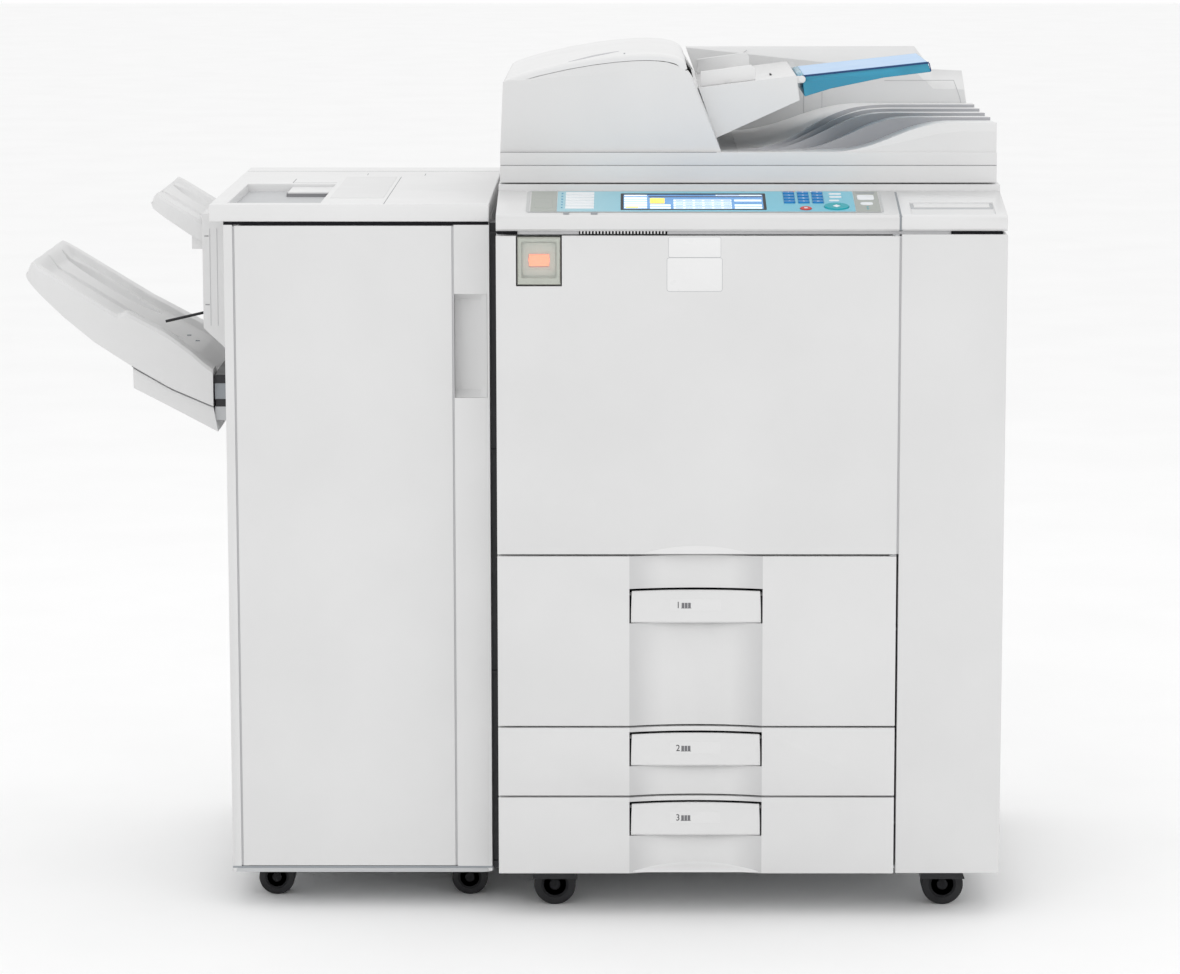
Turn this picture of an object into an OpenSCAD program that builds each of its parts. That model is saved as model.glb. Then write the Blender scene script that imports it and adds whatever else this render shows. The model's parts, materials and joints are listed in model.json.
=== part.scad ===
// A floor-standing office photocopier: a cabinet with three paper drawers, a scanner,
// a document feeder that lifts, and a finisher that stands beside it on its own casters.
// Every sub-part is drawn in the machine's frame (x right, y back, z up, measured from
// the cabinet's front left corner on the floor) and place() moves it to the origin,
// which is the middle of the whole machine's footprint.

/* [Cabinet] */
// Width of the cabinet
body_w = 690; // [570:1:830]
// Depth of the cabinet from its front face
body_d = 640; // [620:1:770]
// Height of the cabinet's top deck above the floor
body_h = 945; // [880:1:1000]
// Height of the cabinet's lower edge above the floor
body_z = 61; // [61:1:73]
// Width of the fixed column at the right of the doors
column_w = 143; // [120:1:170]
// Depth of the front door, the drawer fronts and the column cover
front_d = 24; // [22:0.5:30]
// Thickness of the moulded covers
cover_t = 3; // [2.5:0.1:4]
// Thickness of the frame's steel plates
plate_t = 3; // [2:0.1:4]
// Gap between neighbouring covers
seam = 3; // [2:0.1:4]

/* [Drawers] */
// Height taken by the upper, large drawer
drawer1_h = 239; // [200:1:260]
// Height taken by the middle drawer
drawer2_h = 98; // [90:1:120]
// Height taken by the lower drawer
drawer3_h = 110; // [95:1:130]
// Distance of the upper drawer's handle below that drawer's top
handle1_drop = 53; // [20:1:80]
// Distance of the other handles below their drawers' tops
handle_drop = 14; // [13:1:25]
// Width of the drawer handles
handle_w = 175; // [140:1:176]
// Height of the drawer handles
handle_h = 41; // [32:1:46]
// Width of the hollow that runs down the fronts
hollow_w = 182; // [180:1:200]
// Depth of that hollow
hollow_d = 12; // [8:0.5:13]
// Middle of the hollow from the cabinet's left edge
hollow_x = 271; // [230:1:300]
// Height to which the hollow rises into the front door
hollow_rise = 35; // [20:1:50]
// Depth of the paper tubs
tub_d = 535; // [480:1:560]
// Wall of the paper tubs
tub_t = 2; // [1.5:0.1:3]

/* [Scanner and panel] */
// Depth of the control panel in front of the scanner
panel_d = 125; // [115:1:140]
// Height of the panel's front lip
lip_h = 22; // [18:1:26]
// Slope of the control panel
panel_tilt = 10; // [6:0.5:14]
// Gap between the door and the panel's lip
lip_gap = 4; // [3:0.5:8]
// Height of the scanner above the cabinet
scanner_h = 56; // [50:1:70]
// Width and depth of the exposure glass
glass_w = 448; // [430:1:460]
glass_d = 313; // [300:1:320]
// Width and depth of the touch screen
screen_w = 194; // [160:1:200]
screen_d = 82; // [60:1:90]
// Width and depth of a number key
key_w = 15; // [10:0.5:17]
key_d = 11; // [8:0.5:13]
// Radius of the start key
start_r = 17; // [10:0.5:18]
// Radius of the stop key
stop_r = 8; // [5:0.5:9]

/* [Document feeder] */
// Height of the feeder's platen layer
platen_h = 24; // [20:1:30]
// Height of the feeder's exit layer
exit_h = 18; // [14:1:22]
// Height of the feeder's housing above the exit layer
housing_h = 135; // [120:1:150]
// Width of the housing at its top
housing_w = 250; // [220:1:280]
// Radius of the housing's domed top
dome_r = 500; // [450:10:900]
// Length of the sloping feed table
table_w = 144; // [130:1:160]
// Length of the blue tray extender
extender_w = 178; // [140:1:190]
// Depth of the blue tray extender
extender_d = 216; // [180:1:240]
// Width of the raised end of the exit tray
terrace_w = 196; // [150:1:200]
// Height of that raised end
terrace_h = 41; // [30:1:50]

/* [Finisher] */
// Width of the finisher's casing
finisher_w = 361; // [330:1:430]
// Depth of the finisher's casing
finisher_d = 621; // [560:1:680]
// Height of the finisher's casing below its lid
finisher_h = 957; // [940:1:1000]
// Gap between the finisher and the cabinet
dock_gap = 11; // [8:1:20]
// Distance of the finisher's front behind the cabinet's front
finisher_set_back = 52; // [40:1:60]
// Thickness of the finisher's lid
lid_h = 24; // [18:1:28]
// How far the finisher's side block stands out
block_w = 42; // [34:1:44]
// Reach of the lower stacking tray
stack_reach = 297; // [260:1:320]
// Depth of the lower stacking tray
stack_d = 340; // [300:1:360]

/* [Casters] */
// Radius of the cabinet's casters
caster_r = 29; // [24:0.5:29]
// Radius of the finisher's casters
small_caster_r = 25; // [20:0.5:25]
// Offset of a wheel's axle from its swivel
trail = 18; // [10:1:20]
// Radius of the wheels' axles
axle_r = 3; // [2:0.1:4]
// Radius of the swivel stems
stem_r = 5; // [4:0.1:6]

/* [Fits] */
// Radial clearance of shafts in their bores
fit = 0.1; // [0.05:0.01:0.1]
// Gap between parts that pass each other
clear = 0.4; // [0.3:0.1:0.8]

/* [Hidden] */
$fn = 96;

// colours
white = [0.90, 0.90, 0.88];
grey = [0.62, 0.64, 0.66];
mid_grey = [0.45, 0.46, 0.48];
black = [0.08, 0.08, 0.09];
steel = [0.70, 0.71, 0.72];
blue = [0.25, 0.62, 0.78];
deep_blue = [0.10, 0.28, 0.55];
teal = [0.10, 0.50, 0.52];
red = [0.75, 0.15, 0.12];
eps = 1;

// cabinet: planes that several parts share
inner_gap = 3;
inner_t = 5;
inner_y = front_d + inner_gap;
frame_y = inner_y + inner_t;
frame_x0 = cover_t;
frame_x1 = body_w - cover_t;
frame_y1 = body_d - cover_t;
column_x = body_w - column_w;
front_w = column_x - seam;
partition_x = column_x + seam;
drawer3_z = body_z;
drawer2_z = drawer3_z + drawer3_h;
drawer1_z = drawer2_z + drawer2_h;
door_z = drawer1_z + drawer1_h;
door_top = body_h - 2;
leaf_t = 1.2;
leaf_z = door_z - (seam + leaf_t) / 2;
deck_z = leaf_z;
leaf_top_z = body_h - leaf_t;
hinge_r = 2;
hinge_in = 4;
hinge_x = front_w - hinge_in;
hinge_pin_h = 14;
post_w = 30;

// hollow down the fronts
hollow_r = (pow(hollow_w / 2, 2) + pow(hollow_d, 2)) / (2 * hollow_d);
hollow_y = hollow_d - hollow_r;
handle_t = 5;
handle_axis_y = 16;
handle_pin_r = 2.5;
handle_side = 3.5;
handle_top_gap = 5;
lug_t = 6;

// drawers
tub_x0 = 16;
tub_x1 = front_w - 8;
tub_floor = 12;
tub_head = 14;
lip_w = 6;
lip_t = 3;
rail_t = 4;
rail_y = [40, 600];

// print engine, each [x, z] of a shaft that runs from the front to the rear
deck_top = deck_z + plate_t;
engine_h = body_h - deck_top;
drum_at = [column_x - 247, deck_top + 200];
drum_r = 30;
hot_at = [column_x - 77, deck_top + 310];
pressure_at = [column_x - 77, deck_top + 268];
fuser_r = 20;
toner_at = [150, deck_top + 290];
toner_r = 45;
shaft_r = 5;
shaft_y = [inner_y + 1, frame_y1 - 1];
roller_y = [70, frame_y1 - 40];
laser_z = [deck_top + 50, deck_top + 130];
laser_y = [100, 560];

// power switch
switch_x = [29, 87];
switch_z = [door_top - 66, door_top - 2];
switch_gap = 2;
bezel_y = 3;
bezel_t = 4;
rocker_w = 27;
rocker_h = 15;
rocker_y = 19;
rocker_pin_r = 1.5;
switch_mid = [(switch_x[0] + switch_x[1]) / 2, (switch_z[0] + switch_z[1]) / 2];

// scanner and control panel
panel_y = 5;
panel_y1 = panel_y + panel_d;
lip_z = body_h + lip_gap;
panel_z = lip_z + lip_h;
panel_back_z = panel_z + panel_d * tan(panel_tilt);
scanner_z = body_h;
scanner_top = scanner_z + scanner_h;
glass_t = 4;
glass_x = 56;
glass_y = panel_y1 + 52;
rod_r = 4;
rod_z = scanner_z + 20;
rod_ys = [panel_y1 + 35, panel_y1 + 355];
carriage_x = 30;
carriage_w = 50;
screen_x = 170;
screen_s = 27;
screen_t = 4;
key_up = 2;
key_down = 8;
key_flange = 1.5;
key_pitch = [19.5, 15.5];
key_at = [398, 65];
start_at = [461, 42];
stop_at = [419, 32];

// document feeder
platen_gap = 2;
feeder_x = [2, body_w - 4];
feeder_y = [panel_y1 + 11, body_d - 40];
platen_z = scanner_top + platen_gap;
exit_z = platen_z + platen_h;
table_z = exit_z + exit_h;
housing_z = table_z;
housing_top = housing_z + housing_h;
housing_x = [8, 8 + housing_w];
housing_y = [feeder_y[0] + 4, feeder_y[1]];
side_slant = 0.36;
function side_x(z) = housing_x[1] + (housing_top - z) * side_slant;
dome_x = 200;
shell_t = 4;
feeder_axis = [body_d - 22, platen_z + 9];
arm_r = 9;
arm_pin_r = 5;
arm_xs = [60, body_w - 100];
arm_w = 40;
bracket_w = 10;
split_z = housing_top - 38;
top_axis = [14, split_z + 5];
feed_at = [housing_x[1] - 40, housing_top - 42];
table_left_z = [table_z + 18, table_z + 87];
table_end_x = housing_x[1] + table_w + 8;
table_rise = 17;
table_y = [housing_y[0] + 20, housing_y[1] - 80];
extender_axis = [table_end_x + 8, table_left_z[1] + table_rise - 5.5];
extender_y = table_y[0] + 7;
knuckle_r = 5;
guide_w = 76;
guide_t = 4;
guide_h = 21;
guide_x = side_x(table_left_z[1]) + 3;
guide_ys = [table_y[0] + 13, table_y[1] - 27];
guide_slot = 8;

// finisher
fin_x = [-dock_gap - finisher_w, -dock_gap];
fin_y = [finisher_set_back, finisher_set_back + finisher_d];
fin_z = 50;
skirt_h = 7;
stile_l = 12;
stile_r = 48;
fin_t = 3;
fin_door_x = [fin_x[0] + stile_l + seam, fin_x[1] - stile_r - seam];
fin_door_z = [fin_z + skirt_h + leaf_t + 2 * clear, finisher_h - fin_t - leaf_t - 2 * clear];
fin_door_t = 20;
fin_hinge = [fin_door_x[0] + hinge_in, fin_y[0] + hinge_in];
grip_z = [fin_z + 666, fin_z + 809];
grip_d = 22;
lid_gap = 0.5;
lid_over = 19;
pocket_x = [fin_x[0] + 12, fin_x[0] + 130];
pocket_y = [164, 470];
pocket_d = 12;
block_y = [fin_y[0] + 128, fin_y[1] - 120];
block_z = [finisher_h - 200, finisher_h - lid_gap];
block_x = fin_x[0] - block_w;
upper_tray_y = [200, 500];
stack_y = [195, 195 + stack_d];
stack_right = fin_x[0] - 25;
stack_z = 647;
stack_tip = fin_x[0] - stack_reach;
stack_travel = 350;
arm_slot_w = 20;
arm_slot_ys = [stack_y[0] + 35, stack_y[1] - 55];
stack_arm_z = [stack_z + 13, stack_z + 45];
feeler_at = [block_x - 6, block_z[0] + 49];
feeler_y = 300;
feeler_len = 62;
feeler_w = 13;

// casters, each [x, y] of a swivel or of a fixed wheel
swivel_xs = [76 + trail, body_w - 73 + trail];
swivel_y = 80;
fixed_xs = [76, body_w - 73];
fixed_y = body_d - 70;
fin_swivel_xs = [fin_x[0] + 55 + trail, fin_x[1] - 34 + trail];
fin_swivel_y = 135;
fin_fixed_xs = [fin_x[0] + 55, fin_x[1] - 46];
fin_fixed_y = fin_y[1] - 75;
tyre_w = 12;
web_w = 8;
foot_r = 20;
feet = [[150, 260], [body_w - 150, 260], [150, body_d - 160], [body_w - 150, body_d - 160]];
fin_feet = [[fin_x[0] + 50, 260], [fin_x[1] - 50, 260], [fin_x[0] + 140, 540], [fin_x[1] - 140, 540]];

// the origin is the middle of the footprint
origin_x = (body_w + stack_tip) / 2;
origin_y = max(fin_y[1], body_d) / 2;

module place() { translate([-origin_x, -origin_y, 0]) children(); }

// a box between two planes on each axis
module block(x, y, z) {
    translate([x[0], y[0], z[0]]) cube([x[1] - x[0], y[1] - y[0], z[1] - z[0]]);
}

// a flat outline drawn as [y, z], carried along x
module along_x(x) {
    translate([x[0], 0, 0]) rotate([90, 0, 90]) linear_extrude(x[1] - x[0]) children();
}

// a flat outline drawn as [x, z], carried along y
module along_y(y) {
    translate([0, y[1], 0]) rotate([90, 0, 0]) linear_extrude(y[1] - y[0]) children();
}

module rod_x(x, y, z, r) { translate([x[0], y, z]) rotate([0, 90, 0]) cylinder(h = x[1] - x[0], r = r); }
module rod_y(y, x, z, r) { translate([x, y[1], z]) rotate([90, 0, 0]) cylinder(h = y[1] - y[0], r = r); }
module rod_z(z, x, y, r) { translate([x, y, z[0]]) cylinder(h = z[1] - z[0], r = r); }

// the control panel's sloping face: x across, y up the slope, z out of the face
module on_panel() { translate([0, panel_y, panel_z]) rotate([panel_tilt, 0, 0]) children(); }

// ---- frame and fixed covers ----

module hinge_leaf(x, y, z, up) {
    block([x - 5, x + 4], [y - 3, frame_y + 2], [z, z + leaf_t]);
    rod_z(up ? [z, z + hinge_pin_h] : [z - hinge_pin_h, z + leaf_t], x, y, hinge_r);
}

module base_frame() place() color(steel) {
    difference() {
        union() {
            block([frame_x0, frame_x1], [frame_y, frame_y1], [body_z, body_z + plate_t]);
            block([frame_x0, frame_x0 + plate_t], [frame_y, frame_y1], [body_z, body_h]);
            block([partition_x, partition_x + plate_t], [frame_y, frame_y1], [body_z, body_h]);
            block([frame_x0, frame_x1], [frame_y1 - plate_t, frame_y1], [body_z, body_h]);
            block([frame_x0, partition_x + plate_t], [frame_y, frame_y1], [deck_z, deck_top]);
            block([frame_x0, frame_x1], [frame_y, frame_y1], [body_h - plate_t, body_h]);
            block([frame_x1 - post_w, frame_x1], [frame_y, frame_y + plate_t], [body_z, body_h]);
        }
        for (x = swivel_xs)
            rod_z([body_z - eps, body_z + plate_t + eps], x, swivel_y, stem_r + fit);
        for (at = [drum_at, hot_at, pressure_at, toner_at])
            rod_y([frame_y1 - plate_t - eps, frame_y1 + eps], at[0], at[1], shaft_r + fit);
        block([110, 170], [frame_y1 - plate_t - eps, frame_y1 + eps], [86, 126]);
    }
    hinge_leaf(hinge_x, hinge_in, leaf_z, true);
    hinge_leaf(hinge_x, hinge_in, leaf_top_z, false);
}

module left_cover() place() color(white)
    block([0, cover_t], [inner_y, body_d], [body_z, body_h]);

bypass_y = [180, 500];
bypass_z = [563, 780];
bypass_axis = [body_w - 4.8, bypass_z[0] + 8];
bypass_pin_r = 1.5;
bypass_lug = 4;

module right_cover() place() color(white) {
    difference() {
        block([body_w - cover_t, body_w], [inner_y, body_d], [body_z, body_h]);
        block([body_w - cover_t - eps, body_w + eps], bypass_y, bypass_z);
    }
    for (y = [bypass_y[0] - 6, bypass_y[1]])
        difference() {
            block([body_w - 9, body_w - cover_t], [y, y + 6], [bypass_z[0], bypass_z[0] + 14]);
            rod_y([y - eps, y + 6 + eps], bypass_axis[0] , bypass_axis[1], bypass_pin_r + fit);
        }
}

module rear_cover() place() color(white)
    difference() {
        block([cover_t, body_w - cover_t], [body_d - cover_t, body_d], [body_z, body_h]);
        block([110, 170], [body_d - cover_t - eps, body_d + eps], [86, 126]);
    }

module column_cover() place() color(white)
    difference() {
        block([column_x, body_w], [0, inner_y], [body_z, body_h]);
        block([column_x + cover_t, body_w - cover_t], [cover_t, inner_y + eps],
            [body_z + cover_t, body_h - cover_t]);
    }

module inner_cover() place() color(grey)
    difference() {
        block([frame_x0, partition_x + plate_t], [inner_y, frame_y], [deck_top, body_h - plate_t]);
        rod_y([inner_y - eps, frame_y + eps], toner_at[0], toner_at[1], toner_r + 3);
        for (at = [drum_at, hot_at, pressure_at])
            rod_y([inner_y - eps, frame_y + eps], at[0], at[1], shaft_r + fit);
    }

// height of a drawer's side lips and of the rails below them
function lip_at(z, h) = z + h / 2 + 10;

module drawer_rails() place() color(steel)
    for (d = [[drawer1_z, drawer1_h], [drawer2_z, drawer2_h], [drawer3_z, drawer3_h]]) {
        z = lip_at(d[0], d[1]) - clear;
        block([frame_x0 + plate_t, tub_x0 - clear], rail_y, [z - rail_t, z]);
        block([tub_x1 + clear, partition_x], rail_y, [z - rail_t, z]);
    }

module foot(x, y, top) {
    rod_z([0, 8], x, y, foot_r);
    rod_z([8, top], x, y, stem_r);
}

module levelling_feet() place() color(black) {
    for (p = feet) foot(p[0], p[1], body_z);
    for (p = fin_feet) foot(p[0], p[1], fin_z);
}

module laser_unit() place() color(mid_grey) {
    block([90, column_x - 47], laser_y, laser_z);
    for (x = [100, column_x - 77], y = [laser_y[0] + 10, laser_y[1] - 30])
        block([x, x + 20], [y, y + 20], [deck_top, laser_z[0]]);
}

module power_inlet() place() color(black) {
    difference() {
        block([112, 168], [body_d - 26, body_d + 1], [88, 124]);
        block([122, 158], [body_d - 18, body_d + 2], [96, 116]);
    }
    for (x = [130, 140, 150])
        block([x - 1, x + 1], [body_d - 19, body_d - 4], [103, 109]);
}

module switch_bezel() place() color(mid_grey)
    difference() {
        union() {
            difference() {
                block(switch_x, [bezel_y, inner_y], switch_z);
                block([switch_x[0] + bezel_t, switch_x[1] - bezel_t], [bezel_y - eps, inner_y - bezel_t],
                    [switch_z[0] + bezel_t, switch_z[1] - bezel_t]);
            }
            for (s = [-1, 1])
                translate([switch_mid[0] + s * (rocker_w / 2 + 5), 0, 0])
                    block([-3, 3], [rocker_y - 4, inner_y - bezel_t], [switch_mid[1] - 6, switch_mid[1] + 6]);
        }
        rod_x([switch_mid[0] - rocker_w / 2 - 6, switch_mid[0] + rocker_w / 2 + 6],
            rocker_y, switch_mid[1], rocker_pin_r + fit);
    }

module scanner_housing() place() {
    color(white) difference() {
        block([0, body_w], [panel_y1, body_d], [scanner_z, scanner_top]);
        block([cover_t, body_w - cover_t], [panel_y1 + cover_t, body_d - cover_t],
            [scanner_z + cover_t, scanner_top - cover_t - glass_t]);
        block([glass_x, glass_x + glass_w], [glass_y, glass_y + glass_d],
            [scanner_top - glass_t, scanner_top + eps]);
        block([glass_x + 4, glass_x + glass_w - 4], [glass_y + 4, glass_y + glass_d - 4],
            [scanner_top - cover_t - glass_t - eps, scanner_top]);
    }
    color(steel) for (y = rod_ys) rod_x([cover_t, body_w - cover_t], y, rod_z, rod_r);
    color(mid_grey) for (x = arm_xs) {
        for (e = [x - bracket_w, x + arm_w])
            block([e + clear, e + bracket_w - clear], [feeder_axis[0] - 10, feeder_axis[0] + 10],
                [scanner_top, feeder_axis[1] + 10]);
        rod_x([x - bracket_w + eps, x + arm_w + bracket_w - eps], feeder_axis[0], feeder_axis[1], arm_pin_r);
    }
}

module exposure_glass() place() color([0.6, 0.8, 0.85, 0.5])
    block([glass_x, glass_x + glass_w], [glass_y, glass_y + glass_d],
        [scanner_top - glass_t, scanner_top]);

// outline [y, z] of the control panel, and the hollow inside it
module panel_outline(t) {
    back = t > 0 ? panel_y1 + eps : panel_y1;
    polygon([[panel_y + 3 + t, lip_z + t], [panel_y + t, lip_z + 3 + t],
        [panel_y + t, panel_z - 4 - t / 2], [panel_y + 3 + t, panel_z - t],
        [back, panel_back_z - t * 1.2], [back, lip_z + t]]);
}

module key_holes() on_panel() {
    for (i = [0:2], j = [0:3])
        translate([key_at[0] + i * key_pitch[0], key_at[1] + j * key_pitch[1], 0])
            cube([key_w + 2 * clear, key_d + 2 * clear, 4 * key_down], center = true);
    translate([start_at[0], start_at[1], -key_down]) cylinder(h = 2 * key_down, r = start_r + clear);
    translate([stop_at[0], stop_at[1], -key_down]) cylinder(h = 2 * key_down, r = stop_r + clear);
    translate([screen_x, screen_s, -screen_t]) cube([screen_w, screen_d, 2 * screen_t]);
}

module control_panel() place() color(white)
    difference() {
        along_x([0, front_w]) panel_outline(0);
        difference() {
            along_x([cover_t, front_w - cover_t]) panel_outline(cover_t);
            on_panel() translate([screen_x - 4, screen_s - 4, -screen_t - 3])
                cube([screen_w + 8, screen_d + 8, screen_t + 4]);
        }
        key_holes();
    }

module panel_end_cap() place() color(white)
    difference() {
        along_x([front_w + seam, body_w]) panel_outline(0);
        along_x([front_w + seam + cover_t, body_w - cover_t]) panel_outline(cover_t * 2);
        on_panel() translate([front_w + seam + 14, 8, -3]) cube([column_w - 30, 60, 6]);
    }

module touch_screen() place() color([0.1, 0.35, 0.6])
    on_panel() translate([screen_x, screen_s, -screen_t]) cube([screen_w, screen_d, screen_t]);

// ---- front door, switch and keys ----

module door_hollow(t) {
    lean = atan(hollow_d / hollow_rise);
    translate([hollow_x, hollow_y, door_z]) rotate([lean, 0, 0])
        translate([0, 0, -hollow_rise]) cylinder(h = 4 * hollow_rise, r = hollow_r * cos(lean) + t, $fn = 360);
}

module front_door() place() color(white) {
    notch_x = [switch_x[0] - switch_gap, switch_x[1] + switch_gap];
    notch_z = [switch_z[0] - switch_gap, door_top + eps];
    difference() {
        block([0, front_w], [0, front_d], [door_z, door_top]);
        difference() {
            block([cover_t, front_w - cover_t], [cover_t, front_d + eps],
                [door_z + cover_t, door_top - cover_t]);
            door_hollow(cover_t);
            block([notch_x[0] - cover_t, notch_x[1] + cover_t], [0, front_d + eps],
                [notch_z[0] - cover_t, notch_z[1]]);
            rod_z([door_z, door_z + hinge_pin_h + 4], hinge_x, hinge_in, hinge_r + 2);
            rod_z([door_top - hinge_pin_h - 4, door_top], hinge_x, hinge_in, hinge_r + 2);
        }
        door_hollow(0);
        block(notch_x, [-eps, front_d + eps], notch_z);
        rod_z([door_z - eps, door_z + hinge_pin_h + 1], hinge_x, hinge_in, hinge_r + fit);
        rod_z([door_top - hinge_pin_h - 1, door_top + eps], hinge_x, hinge_in, hinge_r + fit);
    }
}

flap_t = 2;
flap_axis = [1, switch_z[1] - 2];

module switch_flap() place() color([0.55, 0.65, 0.6, 0.6]) {
    block([switch_x[0] + 1, switch_x[1] - 1], [0, flap_t], [switch_z[0] + 1, flap_axis[1]]);
    rod_x([switch_x[0] + 1, switch_x[1] - 1], flap_axis[0], flap_axis[1], flap_t / 2);
}

module power_rocker() place() color([0.9, 0.3, 0.1]) {
    block([switch_mid[0] - rocker_w / 2, switch_mid[0] + rocker_w / 2], [rocker_y - 7, rocker_y + 2],
        [switch_mid[1] - rocker_h / 2, switch_mid[1] + rocker_h / 2]);
    rod_x([switch_mid[0] - rocker_w / 2 - 5, switch_mid[0] + rocker_w / 2 + 5],
        rocker_y, switch_mid[1], rocker_pin_r);
}

module number_keys() place() color(deep_blue) on_panel()
    for (i = [0:2], j = [0:3])
        translate([key_at[0] + i * key_pitch[0], key_at[1] + j * key_pitch[1], 0]) {
            translate([-key_w / 2, -key_d / 2, -key_down]) cube([key_w, key_d, key_down + key_up]);
            translate([-key_w / 2 - key_flange, -key_d / 2 - key_flange, -key_down])
                cube([key_w + 2 * key_flange, key_d + 2 * key_flange, key_flange]);
        }

module round_key(at, r) place() on_panel() translate([at[0], at[1], -key_down]) {
    cylinder(h = key_down + key_up, r = r);
    cylinder(h = key_flange, r = r + key_flange);
}

module start_key() color(teal) round_key(start_at, start_r);
module stop_key() color(red) round_key(stop_at, stop_r);

// ---- drawers ----

module front_outline() {
    difference() {
        square([front_w, front_d]);
        translate([hollow_x, hollow_y]) circle(r = hollow_r, $fn = 360);
    }
}

module front_shell() {
    difference() {
        front_outline();
        difference() {
            translate([cover_t, cover_t]) square([front_w - 2 * cover_t, front_d]);
            translate([hollow_x, hollow_y]) circle(r = hollow_r + cover_t, $fn = 360);
        }
    }
}

// a drawer that stands at height z, takes height h and holds its handle's top at handle_z
module drawer(z, h, handle_z) place() {
    top = z + h - seam;
    open_x = [hollow_x - handle_w / 2 - handle_side, hollow_x + handle_w / 2 + handle_side];
    color(white) difference() {
        union() {
            translate([0, 0, z]) linear_extrude(top - z) front_shell();
            translate([0, 0, z]) linear_extrude(cover_t) front_outline();
            translate([0, 0, top - cover_t]) linear_extrude(cover_t) front_outline();
            for (x = [open_x[0] - lug_t, open_x[1]])
                block([x, x + lug_t], [cover_t - 0.5, front_d], [handle_z - 12, handle_z + 1]);
        }
        block(open_x, [-eps, front_d - cover_t], [handle_z - handle_h - 2, handle_z + handle_top_gap]);
        rod_x([open_x[0] - lug_t - eps, open_x[1] + lug_t + eps], handle_axis_y, handle_z - 5,
            handle_pin_r + fit);
    }
    color(mid_grey) {
        block([cover_t / 2, front_w - cover_t / 2], [front_d, front_d + tub_t], [z + 1, top - 1]);
        difference() {
            block([tub_x0, tub_x1], [front_d + tub_t, front_d + tub_d],
                [z + tub_floor, z + h - tub_head]);
            block([tub_x0 + tub_t, tub_x1 - tub_t], [front_d + 2 * tub_t, front_d + tub_d - tub_t],
                [z + tub_floor + tub_t, z + h]);
        }
        for (x = [tub_x0 - lip_w, tub_x1])
            block([x, x + lip_w], [rail_y[0], front_d + tub_d], [lip_at(z, h), lip_at(z, h) + lip_t]);
    }
}

// a handle whose top edge is at handle_z
module handle(handle_z) place() color(grey) {
    x0 = hollow_x - handle_w / 2;
    x1 = hollow_x + handle_w / 2;
    translate([0, 0, handle_z - handle_h]) linear_extrude(handle_h) intersection() {
        difference() {
            translate([hollow_x, hollow_y]) circle(r = hollow_r + handle_t, $fn = 360);
            translate([hollow_x, hollow_y]) circle(r = hollow_r, $fn = 360);
        }
        translate([x0, 0]) square([handle_w, front_d]);
    }
    for (x = [x0, x1 - 5]) block([x, x + 5], [handle_t - 1, handle_axis_y + 3], [handle_z - 9, handle_z - 1]);
    rod_x([x0 - handle_side - lug_t + 1, x1 + handle_side + lug_t - 1], handle_axis_y, handle_z - 5, handle_pin_r);
}

handle1_z = drawer1_z + drawer1_h - handle1_drop;
handle2_z = drawer2_z + drawer2_h - handle_drop;
handle3_z = drawer3_z + drawer3_h - handle_drop;

module upper_drawer() drawer(drawer1_z, drawer1_h, handle1_z);
module middle_drawer() drawer(drawer2_z, drawer2_h, handle2_z);
module lower_drawer() drawer(drawer3_z, drawer3_h, handle3_z);
module upper_drawer_handle() handle(handle1_z);
module middle_drawer_handle() handle(handle2_z);
module lower_drawer_handle() handle(handle3_z);

module bypass_tray() place() color(white) {
    block([body_w - cover_t, body_w], [bypass_y[0] + 2, bypass_y[1] - 2],
        [bypass_z[0] + bypass_lug, bypass_z[1] - 2]);
    for (y = [bypass_y[0] + 2, bypass_y[1] - 12])
        block([body_w - 7, body_w - cover_t], [y, y + 10], [bypass_axis[1] - 3, bypass_axis[1] + 3]);
    rod_y([bypass_y[0] - 4, bypass_y[1] + 4], bypass_axis[0], bypass_axis[1], bypass_pin_r);
}

// ---- engine ----

module scan_carriage() place() color(black)
    difference() {
        block([carriage_x, carriage_x + carriage_w], [rod_ys[0] - 12, rod_ys[1] + 12],
            [rod_z - 9, scanner_top - cover_t - glass_t - 5]);
        block([carriage_x + 10, carriage_x + carriage_w - 10], [rod_ys[0] + 20, rod_ys[1] - 20],
            [rod_z + 8, scanner_top]);
        for (y = rod_ys) rod_x([carriage_x - eps, carriage_x + carriage_w + eps], y, rod_z, rod_r + fit);
    }

module roller(at, r, y) {
    rod_y(shaft_y, at[0], at[1], shaft_r);
    rod_y(y, at[0], at[1], r);
}

module photoconductor_drum() place() color(teal) roller(drum_at, drum_r, roller_y);
module fuser_hot_roller() place() color(mid_grey) roller(hot_at, fuser_r, roller_y);
module fuser_pressure_roller() place() color(red) roller(pressure_at, fuser_r, roller_y);
module toner_bottle() place() color(black) {
    rod_y([inner_y + 1, roller_y[1]], toner_at[0], toner_at[1], toner_r);
    rod_y([inner_y + 1, shaft_y[1]], toner_at[0], toner_at[1], shaft_r);
}

// ---- casters ----

// a hooded fork: swivel at the origin of x and y, wheels of radius r, mounting face at top
module fork(r, top, stem) {
    hood_r = r + 3;
    difference() {
        union() {
            block([-trail - 7, 7], [-web_w / 2, web_w / 2], [r, top - 1]);
            rod_y([-web_w / 2, web_w / 2], -trail, r, axle_r + 5);
            rod_z([top - 3, top - clear], 0, 0, 16);
            intersection() {
                rod_y([-web_w / 2 - tyre_w - 3, web_w / 2 + tyre_w + 3], -trail, r, hood_r);
                block([-trail - hood_r, -trail + hood_r], [-30, 30], [r + 8, top - clear]);
            }
        }
        for (s = [-1, 1])
            rod_y(s < 0 ? [-web_w / 2 - tyre_w - 1.2, -web_w / 2] : [web_w / 2, web_w / 2 + tyre_w + 1.2],
                -trail, r, r + 1);
        rod_y([-web_w, web_w], -trail, r, axle_r + fit);
    }
    if (stem) rod_z([top - 3, top + 7], 0, 0, stem_r);
}

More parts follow.
